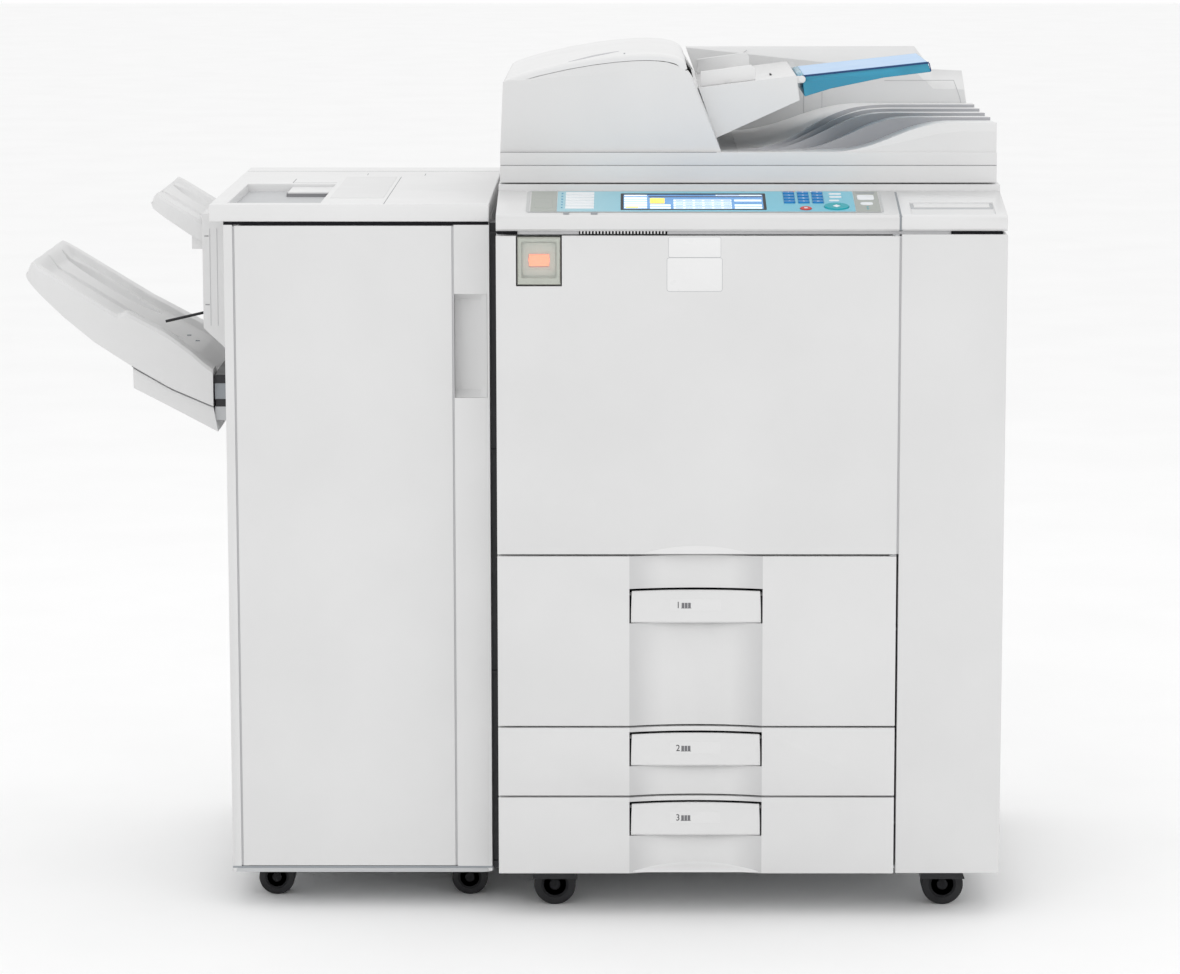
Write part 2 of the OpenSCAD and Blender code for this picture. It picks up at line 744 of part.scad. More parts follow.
module wheel(r) {
    rod_y([-web_w / 2 - tyre_w, web_w / 2 + tyre_w], -trail, r, axle_r);
    for (y = [-web_w / 2 - tyre_w - 0.6, web_w / 2 + 0.6]) rod_y([y, y + tyre_w], -trail, r, r);
}

module on_swivel(x, y) translate([x, y, 0]) children();
module on_fixed(x, y) translate([x, y, 0]) rotate([0, 0, 90]) translate([trail, 0, 0]) children();

module left_caster_fork() place() color(black) on_swivel(swivel_xs[0], swivel_y) fork(caster_r, body_z, true);
module right_caster_fork() place() color(black) on_swivel(swivel_xs[1], swivel_y) fork(caster_r, body_z, true);
module left_caster_wheel() place() color(black) on_swivel(swivel_xs[0], swivel_y) wheel(caster_r);
module right_caster_wheel() place() color(black) on_swivel(swivel_xs[1], swivel_y) wheel(caster_r);
module finisher_left_fork() place() color(black)
    on_swivel(fin_swivel_xs[0], fin_swivel_y) fork(small_caster_r, fin_z, true);
module finisher_right_fork() place() color(black)
    on_swivel(fin_swivel_xs[1], fin_swivel_y) fork(small_caster_r, fin_z, true);
module finisher_left_wheel() place() color(black)
    on_swivel(fin_swivel_xs[0], fin_swivel_y) wheel(small_caster_r);
module finisher_right_wheel() place() color(black)
    on_swivel(fin_swivel_xs[1], fin_swivel_y) wheel(small_caster_r);

module rear_caster_forks() place() color(black) {
    for (x = fixed_xs) on_fixed(x, fixed_y) fork(caster_r, body_z + clear, false);
    for (x = fin_fixed_xs) on_fixed(x, fin_fixed_y) fork(small_caster_r, fin_z + clear, false);
}
module rear_wheels() place() color(black) for (x = fixed_xs) on_fixed(x, fixed_y) wheel(caster_r);
module finisher_rear_wheels() place() color(black)
    for (x = fin_fixed_xs) on_fixed(x, fin_fixed_y) wheel(small_caster_r);

// ---- document feeder ----

module feeder_base() place() color(white) {
    difference() {
        block(feeder_x, feeder_y, [platen_z, exit_z]);
        block([feeder_x[0] + cover_t, feeder_x[1] - cover_t], [feeder_y[0] + cover_t, feeder_y[1] - cover_t],
            [platen_z + cover_t, exit_z + eps]);
    }
    for (x = arm_xs) difference() {
        union() {
            block([x + clear, x + arm_w - clear], [feeder_y[1] - eps, feeder_axis[0]],
                [platen_z, feeder_axis[1] + arm_r]);
            rod_x([x + clear, x + arm_w - clear], feeder_axis[0], feeder_axis[1], arm_r);
        }
        rod_x([x, x + arm_w], feeder_axis[0], feeder_axis[1], arm_pin_r + fit);
    }
}

module feeder_exit_tray() place() color(white) {
    right = feeder_x[1];
    difference() {
        union() {
            block([feeder_x[0], right], feeder_y, [exit_z, table_z]);
            along_y([feeder_y[0] + 4, feeder_y[1] - 40])
                polygon([[right - terrace_w, table_z - eps], [right - 78, table_z + terrace_h - 4],
                    [right - 46, table_z + terrace_h], [right - 1, table_z + terrace_h],
                    [right - 1, table_z - eps]]);
        }
        block([feeder_x[0] + cover_t, right - cover_t], [feeder_y[0] + cover_t, feeder_y[1] - cover_t],
            [exit_z - eps, table_z - cover_t]);
        along_y([feeder_y[0] + 8, feeder_y[1] - 44])
            polygon([[right - terrace_w + 24, table_z - cover_t - eps], [right - 74, table_z + terrace_h - 9],
                [right - 5, table_z + terrace_h - 5], [right - 5, table_z - cover_t - eps]]);
    }
    along_y([feeder_y[1] - 40, feeder_y[1]])
        polygon([[housing_x[1] + 50, table_z], [housing_x[1] + 5, housing_top - 13],
            [right - 84, housing_top - 13], [right - 58, table_z + 88],
            [right - 13, table_z + 86], [right - 1, table_z]]);
}

// outline [x, z] of the feeder's housing, drawn in by t on every side
module housing_outline(t) {
    intersection() {
        polygon([[feeder_x[0] + t, housing_z + t], [housing_x[0] + t, housing_top],
            [housing_x[1] - t, housing_top], [housing_x[1] + housing_h * side_slant - t, housing_z + t]]);
        translate([dome_x, housing_top - dome_r]) circle(r = dome_r - t, $fn = 720);
    }
}

module under_dome(t) { translate([dome_x, housing_top - dome_r]) circle(r = dome_r - t, $fn = 720); }

module feeder_housing() place() color(white)
    difference() {
        along_y(housing_y) housing_outline(0);
        along_y([housing_y[0] + shell_t, housing_y[1] - shell_t]) housing_outline(shell_t);
        along_y([housing_y[0] + 40, table_y[1] - 20])
            polygon([[housing_x[1] - 20, housing_top - 42], [housing_x[1] + 40, housing_top - 42],
                [housing_x[1] + 40, housing_top + eps], [housing_x[1] - 20, housing_top + eps]]);
        along_y([housing_y[0] + 40, table_y[1] - 20])
            translate([housing_x[1], housing_z + 6]) square([100, 10]);
        along_y([housing_y[0] - eps, housing_y[1] + eps]) difference() {
            translate([-eps, split_z + 4]) square([housing_x[1] + 60, housing_h]);
            under_dome(shell_t + clear);
        }
        rod_y([housing_y[0] + 1, housing_y[1] - 1], feed_at[0], feed_at[1], rod_r + fit);
    }

module feeder_top_cover() place() color(white) {
    along_y([housing_y[0], housing_y[1] - 1]) intersection() {
        difference() {
            under_dome(0);
            under_dome(shell_t);
        }
        polygon([[housing_x[0] + 1, split_z + 5], [housing_x[0] + 1, housing_top + eps],
            [housing_x[1] - 1, housing_top + eps], [housing_x[1] + 12, split_z + 5]]);
    }
}

module feed_roller() place() color(black) {
    rod_y([housing_y[0] + 1.5, housing_y[1] - 1.5], feed_at[0], feed_at[1], rod_r);
    for (y = [housing_y[0] + 90, housing_y[0] + 200, housing_y[0] + 310])
        rod_y([y, y + 40], feed_at[0], feed_at[1], 13);
}

module feeder_table() place() color(white)
    difference() {
        union() {
            along_y(table_y) polygon([[side_x(table_left_z[0]), table_left_z[0]],
                [side_x(table_left_z[1]), table_left_z[1]],
                [table_end_x, table_left_z[1] + table_rise],
                [table_end_x + 5, table_left_z[1] - 17]]);
            for (y = [extender_y - 6, extender_y + extender_d + 1]) {
                block([table_end_x - 6, extender_axis[0]], [y, y + 5],
                    [extender_axis[1] - 5, extender_axis[1] + 4.5]);
                rod_y([y, y + 5], extender_axis[0], extender_axis[1], 5);
            }
        }
        rod_y([extender_y - 7, extender_y + extender_d + 7], extender_axis[0], extender_axis[1], 2 + fit);
        block([guide_x + guide_w / 2 - guide_slot / 2, guide_x + guide_w / 2 + guide_slot / 2],
            [guide_ys[0] - 6, guide_ys[1] + 10], [table_left_z[1] - 6, table_left_z[1] + 20]);
    }

function table_top_at(x) = table_left_z[1] + table_rise
    * (x - side_x(table_left_z[1])) / (table_end_x - side_x(table_left_z[1]));

module guide(y, foot_side) place() color(white) {
    x1 = guide_x + guide_w;
    along_y([y, y + guide_t]) polygon([[guide_x, table_top_at(guide_x) + clear],
        [x1, table_top_at(x1) + clear], [x1, table_top_at(x1) + guide_h - 6],
        [x1 - 6, table_top_at(x1) + guide_h], [guide_x, table_top_at(guide_x) + guide_h]]);
    mid = guide_x + guide_w / 2;
    block([mid - 3, mid + 3], [y, y + guide_t], [table_left_z[1] - 4, table_top_at(mid) + 4]);
}

module front_guide() guide(guide_ys[0]);
module rear_guide() guide(guide_ys[1]);

module tray_extender() place() color(blue)
    difference() {
        union() {
            rod_y([extender_y, extender_y + extender_d], extender_axis[0], extender_axis[1], knuckle_r);
            along_y([extender_y, extender_y + extender_d])
                polygon([[extender_axis[0], extender_axis[1] + knuckle_r],
                    [extender_axis[0] + extender_w - 5, extender_axis[1] + knuckle_r + 19],
                    [extender_axis[0] + extender_w, extender_axis[1] + knuckle_r + 5],
                    [extender_axis[0] + extender_w - 65, extender_axis[1] + 2],
                    [extender_axis[0] + 40, extender_axis[1] - 13],
                    [extender_axis[0] + 4, extender_axis[1] - 24]]);
        }
        along_y([extender_y + 4, extender_y + extender_d - 4])
            polygon([[extender_axis[0] + 12, extender_axis[1] + 2],
                [extender_axis[0] + extender_w - 10, extender_axis[1] + knuckle_r + 14],
                [extender_axis[0] + extender_w - 60, extender_axis[1] - 6],
                [extender_axis[0] + 40, extender_axis[1] - 40], [extender_axis[0] + 12, extender_axis[1] - 40]]);
        rod_y([extender_y - eps, extender_y + extender_d + eps], extender_axis[0], extender_axis[1], 2 + fit);
    }

// ---- finisher ----

module finisher_casing() place() color(white) {
    inner_top = finisher_h - fin_t;
    difference() {
        union() {
            difference() {
                block(fin_x, fin_y, [fin_z, finisher_h]);
                block([fin_x[0] + fin_t, fin_x[1] - fin_t], [fin_y[0] - eps, fin_y[1] - fin_t],
                    [fin_z + skirt_h, inner_top]);
            }
            block([fin_x[0], fin_x[0] + stile_l], [fin_y[0], fin_y[0] + fin_door_t + 4], [fin_z, inner_top]);
            block([fin_x[1] - stile_r, fin_x[1]], [fin_y[0], fin_y[0] + grip_d + fin_t], [fin_z, inner_top]);
            difference() {
                block([block_x, fin_x[0]], block_y, block_z);
                block([block_x + fin_t, fin_x[0] + eps], [block_y[0] + fin_t, block_y[1] - fin_t],
                    [block_z[0] + fin_t, block_z[1] - fin_t]);
                block([block_x - eps, block_x + fin_t + eps], [upper_tray_y[0] + 10, upper_tray_y[1] - 10],
                    [block_z[0] + 70, block_z[0] + 130]);
            }
            for (y = [feeler_y - 11, feeler_y + 7])
                block([feeler_at[0] - 4, block_x], [y, y + 4], [feeler_at[1] - 5, feeler_at[1] + 5]);
            block([fin_x[1], 0], [260, 420], [700, 760]);
        }
        block([fin_x[1] - stile_r - eps, fin_x[1] - 8], [fin_y[0] - eps, fin_y[0] + grip_d], grip_z);
        for (y = arm_slot_ys)
            block([fin_x[0] - eps, fin_x[0] + fin_t + eps], [y, y + arm_slot_w],
                [stack_arm_z[0] - stack_travel - 10, stack_arm_z[1] + 10]);
        for (x = fin_swivel_xs)
            rod_z([fin_z - eps, fin_z + skirt_h + eps], x, fin_swivel_y, stem_r + fit);
        rod_y([feeler_y - 12, feeler_y + 12], feeler_at[0], feeler_at[1], 1.5);
    }
    rod_y([feeler_y - 11, feeler_y + 11], feeler_at[0], feeler_at[1], 1.5);
    for (z = [fin_z + skirt_h, finisher_h - fin_t - leaf_t]) {
        block([fin_hinge[0] - 5, fin_hinge[0] + 4], [fin_hinge[1] - 3, fin_y[0] + fin_door_t + 8], [z, z + leaf_t]);
        up = z < finisher_h / 2;
        rod_z(up ? [z, z + hinge_pin_h] : [z - hinge_pin_h, z], fin_hinge[0], fin_hinge[1], hinge_r);
    }
}

module upper_tray() place() color(grey)
    along_y(upper_tray_y) polygon([[block_x, finisher_h - 11], [block_x - 66, finisher_h + 26],
        [block_x - 74, finisher_h + 22], [block_x - 76, finisher_h + 12],
        [block_x - 72, finisher_h + 5], [block_x, finisher_h - 33]]);

module finisher_door() place() color(white)
    difference() {
        block(fin_door_x, [fin_y[0], fin_y[0] + fin_door_t], fin_door_z);
        difference() {
            block([fin_door_x[0] + fin_t, fin_door_x[1] - fin_t], [fin_y[0] + fin_t, fin_y[0] + fin_door_t + eps],
                [fin_door_z[0] + fin_t, fin_door_z[1] - fin_t]);
            rod_z([fin_door_z[0], fin_door_z[0] + hinge_pin_h + 4], fin_hinge[0], fin_hinge[1], hinge_r + 2);
            rod_z([fin_door_z[1] - hinge_pin_h - 4, fin_door_z[1]], fin_hinge[0], fin_hinge[1], hinge_r + 2);
        }
        rod_z([fin_door_z[0] - eps, fin_door_z[0] + hinge_pin_h + 1], fin_hinge[0], fin_hinge[1], hinge_r + fit);
        rod_z([fin_door_z[1] - hinge_pin_h - 1, fin_door_z[1] + eps], fin_hinge[0], fin_hinge[1], hinge_r + fit);
    }

module finisher_lid() place() color(white)
    difference() {
        block([fin_x[0] - lid_over, fin_x[1]], fin_y, [finisher_h + lid_gap, finisher_h + lid_h]);
        difference() {
            block([fin_x[0] - lid_over + fin_t, fin_x[1] - fin_t], [fin_y[0] + fin_t, fin_y[1] - fin_t],
                [finisher_h, finisher_h + lid_h - fin_t]);
            block([pocket_x[0] - fin_t, pocket_x[1] + fin_t], [pocket_y[0] - fin_t, pocket_y[1] + fin_t],
                [finisher_h, finisher_h + lid_h]);
        }
        block(pocket_x, pocket_y, [finisher_h + lid_h - pocket_d, finisher_h + lid_h + eps]);
    }

module lower_tray() place() color(grey) {
    along_y(stack_y) polygon([[stack_right - 7, stack_z + 92], [stack_right - 259, stack_z + 240],
        [stack_tip, stack_z + 223], [stack_tip + 6, stack_z + 214], [stack_tip + 57, stack_z + 164],
        [stack_tip + 152, stack_z + 94], [stack_tip + 154, stack_z + 63], [stack_right, stack_z]]);
    for (y = arm_slot_ys)
        block([stack_right - 20, fin_x[0] + fin_t + 6], [y + 3, y + arm_slot_w - 3], stack_arm_z);
}

module feeler_arm() place() color(black)
    difference() {
        union() {
            rod_y([feeler_y - 6.6, feeler_y + 6.6], feeler_at[0], feeler_at[1], 4.5);
            translate([feeler_at[0], feeler_y, feeler_at[1]]) rotate([0, -90 - feeler_w, 0])
                cylinder(h = feeler_len, r = 2);
        }
        rod_y([feeler_y - 8, feeler_y + 8], feeler_at[0], feeler_at[1], 1.5 + fit);
    }

base_frame();
left_cover();
right_cover();
rear_cover();
column_cover();
inner_cover();
drawer_rails();
levelling_feet();
rear_caster_forks();
laser_unit();
power_inlet();
switch_bezel();
scanner_housing();
exposure_glass();
control_panel();
panel_end_cap();
touch_screen();
front_door();
switch_flap();
power_rocker();
number_keys();
start_key();
stop_key();
upper_drawer();
middle_drawer();
lower_drawer();
upper_drawer_handle();
middle_drawer_handle();
lower_drawer_handle();
bypass_tray();
scan_carriage();
photoconductor_drum();
fuser_hot_roller();
fuser_pressure_roller();
toner_bottle();
left_caster_fork();
right_caster_fork();
left_caster_wheel();
right_caster_wheel();
rear_wheels();
feeder_base();
feeder_exit_tray();
feeder_housing();
feeder_table();
feeder_top_cover();
feed_roller();
front_guide();
rear_guide();
tray_extender();
finisher_casing();
upper_tray();
finisher_door();
finisher_lid();
lower_tray();
feeler_arm();
finisher_left_fork();
finisher_right_fork();
finisher_left_wheel();
finisher_right_wheel();
finisher_rear_wheels();
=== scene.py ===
"""The photocopier's looks: a cabinet with drawers, a control panel, a document feeder and a finisher.

Sizes are in millimetres in the machine's own frame (x right, y back, z up, from the cabinet's front
left corner on the floor). at() turns such a place into the shared frame's metres.
"""

import json
import math

import bmesh
import bpy
import numpy as np
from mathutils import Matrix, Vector
from mathutils.geometry import tessellate_polygon

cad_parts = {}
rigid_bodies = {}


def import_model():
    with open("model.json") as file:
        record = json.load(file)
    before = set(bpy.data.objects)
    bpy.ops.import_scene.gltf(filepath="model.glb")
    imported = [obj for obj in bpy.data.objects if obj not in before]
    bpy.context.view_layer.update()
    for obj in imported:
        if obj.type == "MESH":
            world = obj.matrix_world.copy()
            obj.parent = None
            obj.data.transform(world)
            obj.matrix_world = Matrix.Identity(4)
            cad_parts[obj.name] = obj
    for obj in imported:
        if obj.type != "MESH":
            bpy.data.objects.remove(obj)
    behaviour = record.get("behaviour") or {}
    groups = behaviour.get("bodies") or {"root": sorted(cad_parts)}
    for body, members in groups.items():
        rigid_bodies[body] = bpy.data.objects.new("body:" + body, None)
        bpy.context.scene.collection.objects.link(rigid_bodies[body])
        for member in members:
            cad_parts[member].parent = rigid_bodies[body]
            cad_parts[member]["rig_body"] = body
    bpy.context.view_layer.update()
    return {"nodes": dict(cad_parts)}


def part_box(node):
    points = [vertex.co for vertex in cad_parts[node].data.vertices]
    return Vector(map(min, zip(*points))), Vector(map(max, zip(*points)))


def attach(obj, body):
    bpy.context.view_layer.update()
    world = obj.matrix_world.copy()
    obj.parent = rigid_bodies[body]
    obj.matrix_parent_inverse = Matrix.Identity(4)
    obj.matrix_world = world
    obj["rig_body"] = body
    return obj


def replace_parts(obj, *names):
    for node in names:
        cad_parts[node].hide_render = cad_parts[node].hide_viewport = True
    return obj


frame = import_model()

MM = 0.001
CORNER = np.array([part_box("left_cover")[0][0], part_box("front_door")[0][1], 0.0])
X = np.array([1.0, 0.0, 0.0])
Y = np.array([0.0, 1.0, 0.0])
Z = np.array([0.0, 0.0, 1.0])


def at(points):
    """Machine millimetres to shared-frame metres: the cabinet's corner plus the point times 0.001."""
    return CORNER + np.asarray(points, dtype=float) * MM


def span(node):
    """A CAD node's lowest and highest corner in machine millimetres."""
    low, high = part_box(node)
    return (np.array(low) - CORNER) / MM, (np.array(high) - CORNER) / MM


def body_of(node):
    """The name of the body that a CAD node rides on."""
    return frame["nodes"][node]["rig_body"]


# ---- materials

def new_material(name):
    """An empty node material; returns the material, its node tree and its Principled shader."""
    material = bpy.data.materials.new(name)
    material.use_nodes = True
    tree = material.node_tree
    return material, tree, tree.nodes["Principled BSDF"]


def feed(tree, node, values):
    """Sets a node's inputs, by name or number: a socket is linked, anything else is the input's value."""
    for key, value in values.items():
        if isinstance(value, bpy.types.NodeSocket):
            tree.links.new(value, node.inputs[key])
        else:
            node.inputs[key].default_value = value


def add_node(tree, kind, values):
    """A new shader node of a kind with its inputs fed."""
    node = tree.nodes.new("ShaderNode" + kind)
    feed(tree, node, values)
    return node


def calculated(tree, operation, first, second=0.5):
    """The result of a Math node on two values or sockets."""
    node = add_node(tree, "Math", {0: first, 1: second})
    node.operation = operation
    return node.outputs["Value"]


def blend(tree, factor, first, second):
    """The colour socket first, mixed by factor with the plain colour second."""
    mix = tree.nodes.new("ShaderNodeMix")
    mix.data_type = "RGBA"
    feed(tree, mix, {"Factor": factor, "A": first, "B": (*second, 1.0)})
    return mix.outputs["Result"]


def object_noise(tree, scale, detail=3.0, stretch=(1.0, 1.0, 1.0)):
    """Noise on Object coordinates; returns its factor socket."""
    coords = tree.nodes.new("ShaderNodeTexCoord")
    mapping = add_node(tree, "Mapping", {"Scale": stretch, "Vector": coords.outputs["Object"]})
    place = mapping.outputs["Vector"]
    return add_node(tree, "TexNoise", {"Scale": scale, "Detail": detail, "Vector": place}).outputs["Fac"]


def ramp(tree, factor, low, high, colour_low, colour_high):
    """A two-stop colour ramp of factor from low to high."""
    node = add_node(tree, "ValToRGB", {"Fac": factor})
    first, last = node.color_ramp.elements
    first.position = low
    last.position = high
    first.color = (*colour_low, 1.0)
    last.color = (*colour_high, 1.0)
    return node.outputs["Color"]


def spread(tree, factor, low, high):
    """factor from 0..1 mapped to low..high."""
    return add_node(tree, "MapRange", {"To Min": low, "To Max": high, "Value": factor}).outputs["Result"]


def edge_mask(tree, radius):
    """How far the rounded normal leaves the true one: bright along edges, dark on flats."""
    bevel = add_node(tree, "Bevel", {"Radius": radius})
    bevel.samples = 3
    geometry = tree.nodes.new("ShaderNodeNewGeometry")
    dot = tree.nodes.new("ShaderNodeVectorMath")
    dot.operation = "DOT_PRODUCT"
    feed(tree, dot, {0: bevel.outputs["Normal"], 1: geometry.outputs["Normal"]})
    turn = add_node(tree, "MapRange", {"From Min": 0.98, "From Max": 0.75, "Value": dot.outputs["Value"]})
    return turn.outputs["Result"]


def fine_bump(tree, shader, scale, strength, distance=0.0003, detail=3.0):
    """A faint moulded unevenness in the shading normal."""
    noise = object_noise(tree, scale, detail)
    bump = add_node(tree, "Bump", {"Strength": strength, "Distance": distance, "Height": noise})
    feed(tree, shader, {"Normal": bump.outputs["Normal"]})


def moulded(name, colour, roughness=0.42, grain=0.05, wear=0.06, specular=0.4):
    """Moulded plastic: faint mottling and smudges, spark-eroded grain, edges worn slightly lighter."""
    material, tree, shader = new_material(name)
    colour = np.array(colour)
    mottle = object_noise(tree, 7.0, 4.0)
    base = ramp(tree, mottle, 0.3, 0.7, colour * 0.975, np.minimum(colour * 1.012, 1.0))
    edges = calculated(tree, "MULTIPLY", edge_mask(tree, 0.0016))
    worn = np.minimum(colour * (1.0 + wear) + wear * 0.3, 1.0)
    smudge = object_noise(tree, 22.0, 5.0)
    feed(tree, shader, {"Base Color": blend(tree, edges, base, worn),
                        "Roughness": spread(tree, smudge, roughness - 0.07, roughness + 0.09),
                        "Specular IOR Level": specular})
    fine_bump(tree, shader, 1400.0, grain, 0.0004, 2.0)
    return material


def darken_hollow(material, middle, half, depth, shade=(0.25, 0.25, 0.26)):
    """The colour turns by depth towards the colour shade at the two sides of an upright band of a given half
    width; on the drawers this is painted shade along the hollow's sides.
    """
    tree = material.node_tree
    shader = tree.nodes["Principled BSDF"]
    colour = shader.inputs["Base Color"].links[0].from_socket
    coords = tree.nodes.new("ShaderNodeTexCoord")
    split = add_node(tree, "SeparateXYZ", {"Vector": coords.outputs["Object"]})
    away = calculated(tree, "ABSOLUTE", calculated(tree, "SUBTRACT", split.outputs["X"], middle))
    rise = tree.nodes.new("ShaderNodeMapRange")
    rise.interpolation_type = "SMOOTHSTEP"
    feed(tree, rise, {"From Min": half * 0.45, "From Max": half * 1.05, "To Max": depth, "Value": away})
    inside = calculated(tree, "LESS_THAN", away, half)
    both = calculated(tree, "MULTIPLY", rise.outputs["Result"], inside)
    feed(tree, shader, {"Base Color": blend(tree, both, colour, shade)})
    return material


def sheet_steel(name, colour):
    """Zinc-plated sheet: brushed streaks along z and a soft spangle."""
    material, tree, shader = new_material(name)
    colour = np.array(colour)
    spangle = object_noise(tree, 60.0, 2.0)
    streaks = object_noise(tree, 300.0, 3.0, (1.0, 1.0, 0.04))
    feed(tree, shader, {"Base Color": ramp(tree, spangle, 0.35, 0.65, colour * 0.85, colour),
                        "Roughness": spread(tree, streaks, 0.28, 0.5), "Metallic": 0.9})
    fine_bump(tree, shader, 420.0, 0.08)
    return material


def clear(name, colour, roughness, transmission, ior=1.49, alpha=1.0):
    """Clear or tinted plastic or glass with faint wiping marks."""
    material, tree, shader = new_material(name)
    marks = object_noise(tree, 35.0, 4.0)
    feed(tree, shader, {"Base Color": (*colour, 1.0), "Transmission Weight": transmission, "IOR": ior,
                        "Roughness": spread(tree, marks, roughness, roughness + 0.07), "Alpha": alpha})
    fine_bump(tree, shader, 180.0, 0.03)
    return material


def lit(name, colour, strength, roughness):
    """Plastic that glows from behind, with an uneven surface colour."""
    material, tree, shader = new_material(name)
    colour = np.array(colour)
    patch = object_noise(tree, 30.0, 2.0)
    feed(tree, shader, {"Base Color": ramp(tree, patch, 0.2, 0.8, colour * 0.8, colour),
                        "Emission Color": (*colour, 1.0), "Emission Strength": strength,
                        "Roughness": spread(tree, patch, roughness, roughness + 0.1)})
    fine_bump(tree, shader, 900.0, 0.04)
    return material


WHITE = moulded("white_moulding", (0.70, 0.70, 0.70), 0.40)
# The drawers' white darkens towards the sides of the hollow down their fronts: painted shade.
DRAWER_WHITE_PAINTED_SHADE = darken_hollow(moulded("drawer_moulding", (0.70, 0.70, 0.70), 0.40),
                             271.0 * MM + CORNER[0], 91.0 * MM, 0.30)
WHITE_CAP = moulded("white_cap_moulding", (0.74, 0.74, 0.74), 0.36)
# A slightly darker white for the finisher's grip scoop: painted shade in the recess.
PAINTED_SHADE = moulded("painted_shade_moulding", (0.66, 0.66, 0.66), 0.45)
HANDLE = moulded("handle_moulding", (0.70, 0.70, 0.70), 0.36)
LABEL = moulded("label_plate", (0.715, 0.715, 0.715), 0.34, grain=0.01)
BADGE = moulded("blank_badge", (0.78, 0.78, 0.78), 0.28, grain=0.01)
# Pale grey for seam lines; set back in gaps it is painted soft shade in place of their dark shadow.
SEAM = moulded("seam_pale", (0.50, 0.50, 0.51), 0.5, wear=0.0)
SEAM_DARK = moulded("seam_dark", (0.24, 0.24, 0.25), 0.5, wear=0.0)
# Mid grey for the exit tray's risers and the crescent on the feeder lid: painted shade.
PAINTED_SHADE_DEEP = moulded("painted_riser_shade", (0.46, 0.46, 0.48), 0.45, wear=0.0)
PALE_BLUE = moulded("extender_film", (0.36, 0.56, 0.82), 0.32, grain=0.0, wear=0.0, specular=0.4)
NAVY = moulded("extender_edge", (0.01, 0.05, 0.16), 0.2, grain=0.0, wear=0.0)
MARK = moulded("printed_mark", (0.06, 0.06, 0.065), 0.5, wear=0.0)
MARK_SOFT = moulded("printed_mark_soft", (0.16, 0.16, 0.17), 0.5, wear=0.0)
SWITCH_FRAME = moulded("switch_frame", (0.45, 0.46, 0.41), 0.35)
SWITCH_PLATE = moulded("switch_plate", (0.60, 0.61, 0.56), 0.4)
PANEL_GREY = moulded("panel_plate", (0.40, 0.42, 0.39), 0.4)
PANEL_RIM = moulded("panel_rim", (0.52, 0.53, 0.53), 0.4)
PALE_GREY = moulded("pale_grey_moulding", (0.50, 0.51, 0.52), 0.45)
MID_GREY = moulded("mid_grey_moulding", (0.30, 0.32, 0.34), 0.5)
DARK = moulded("dark_moulding", (0.022, 0.022, 0.025), 0.45, wear=0.02)
# Near black for gaps, slots, the air inlet and the wells behind the handles: painted shadow.
GAP_SHADOW = moulded("seam_shadow", (0.01, 0.01, 0.012), 0.8, wear=0.0, specular=0.1)
HUB = moulded("caster_hub", (0.016, 0.016, 0.018), 0.7, wear=0.0, specular=0.15)
TYRE = moulded("caster_tread", (0.015, 0.015, 0.017), 0.6, grain=0.15, wear=0.01)
STEEL = sheet_steel("zinc_sheet", (0.62, 0.63, 0.64))
GROUND_STEEL = sheet_steel("ground_steel", (0.75, 0.75, 0.76))
GLASS = clear("scanner_glass", (0.85, 0.95, 0.93), 0.02, 0.95)
FLAP = clear("switch_window", (0.75, 0.80, 0.74), 0.10, 0.0, 1.45, 0.22)
EXTENDER = clear("blue_translucent", (0.05, 0.43, 0.64), 0.16, 0.45)
OVERLAY = darken_hollow(moulded("panel_film", (0.19, 0.53, 0.66), 0.3, grain=0.02, wear=0.0),
                        at([430.0, 0.0, 0.0])[0], 350.0 * MM, 0.75, (0.42, 0.62, 0.68))
OVERLAY_DEEP = moulded("panel_film_deep", (0.06, 0.30, 0.48), 0.3, grain=0.02, wear=0.0)
KEY_BLUE = moulded("number_key", (0.0, 0.20, 0.52), 0.35, wear=0.03)
KEY_TEAL = moulded("start_key", (0.0, 0.36, 0.42), 0.3, wear=0.03)
KEY_RED = moulded("stop_key", (0.60, 0.05, 0.04), 0.35, wear=0.03)
KEY_WHITE = moulded("white_key", (0.82, 0.84, 0.86), 0.35, wear=0.02)
KEY_ORANGE = moulded("orange_key", (0.85, 0.28, 0.05), 0.35, wear=0.02)
SCREEN = lit("screen_ground", (0.10, 0.30, 0.62), 0.35, 0.12)
SCREEN_LIGHT = lit("screen_light", (0.75, 0.87, 0.98), 0.6, 0.12)
SCREEN_YELLOW = lit("screen_yellow", (1.0, 0.72, 0.10), 0.7, 0.12)
SCREEN_DARK = lit("screen_dark", (0.02, 0.07, 0.22), 0.1, 0.12)
SCREEN_BLUE = lit("screen_blue", (0.12, 0.30, 0.60), 0.4, 0.12)
LAMP = lit("lit_rocker", (1.0, 0.16, 0.05), 1.6, 0.3)
DRUM = moulded("drum_coating", (0.05, 0.30, 0.28), 0.12, grain=0.0, wear=0.0, specular=0.6)
SILICONE = moulded("silicone", (0.45, 0.08, 0.06), 0.5)


# ---- mesh helpers

SHARP = 32.0
BEVEL_SEGMENTS = 2
BEVEL_ABOVE = 40.0


def make(name, points, faces, material, body):
    """A mesh object of machine-millimetre points, riding on body."""
    mesh = bpy.data.meshes.new(name)
    mesh.from_pydata(at(points).tolist(), [], faces)
    finish_mesh(mesh)
    obj = bpy.data.objects.new(name, mesh)
    bpy.context.scene.collection.objects.link(obj)
    mesh.materials.append(material)
    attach(obj, body)
    return obj


def finish_mesh(mesh):
    """Merges doubles, turns the closed shell's normals outwards and keeps edges over SHARP degrees crisp."""
    work = bmesh.new()
    work.from_mesh(mesh)
    bmesh.ops.remove_doubles(work, verts=work.verts, dist=1e-6)
    bmesh.ops.recalc_face_normals(work, faces=work.faces)
    work.to_mesh(mesh)
    work.free()
    mesh.shade_smooth()
    mesh.set_sharp_from_angle(angle=math.radians(SHARP))


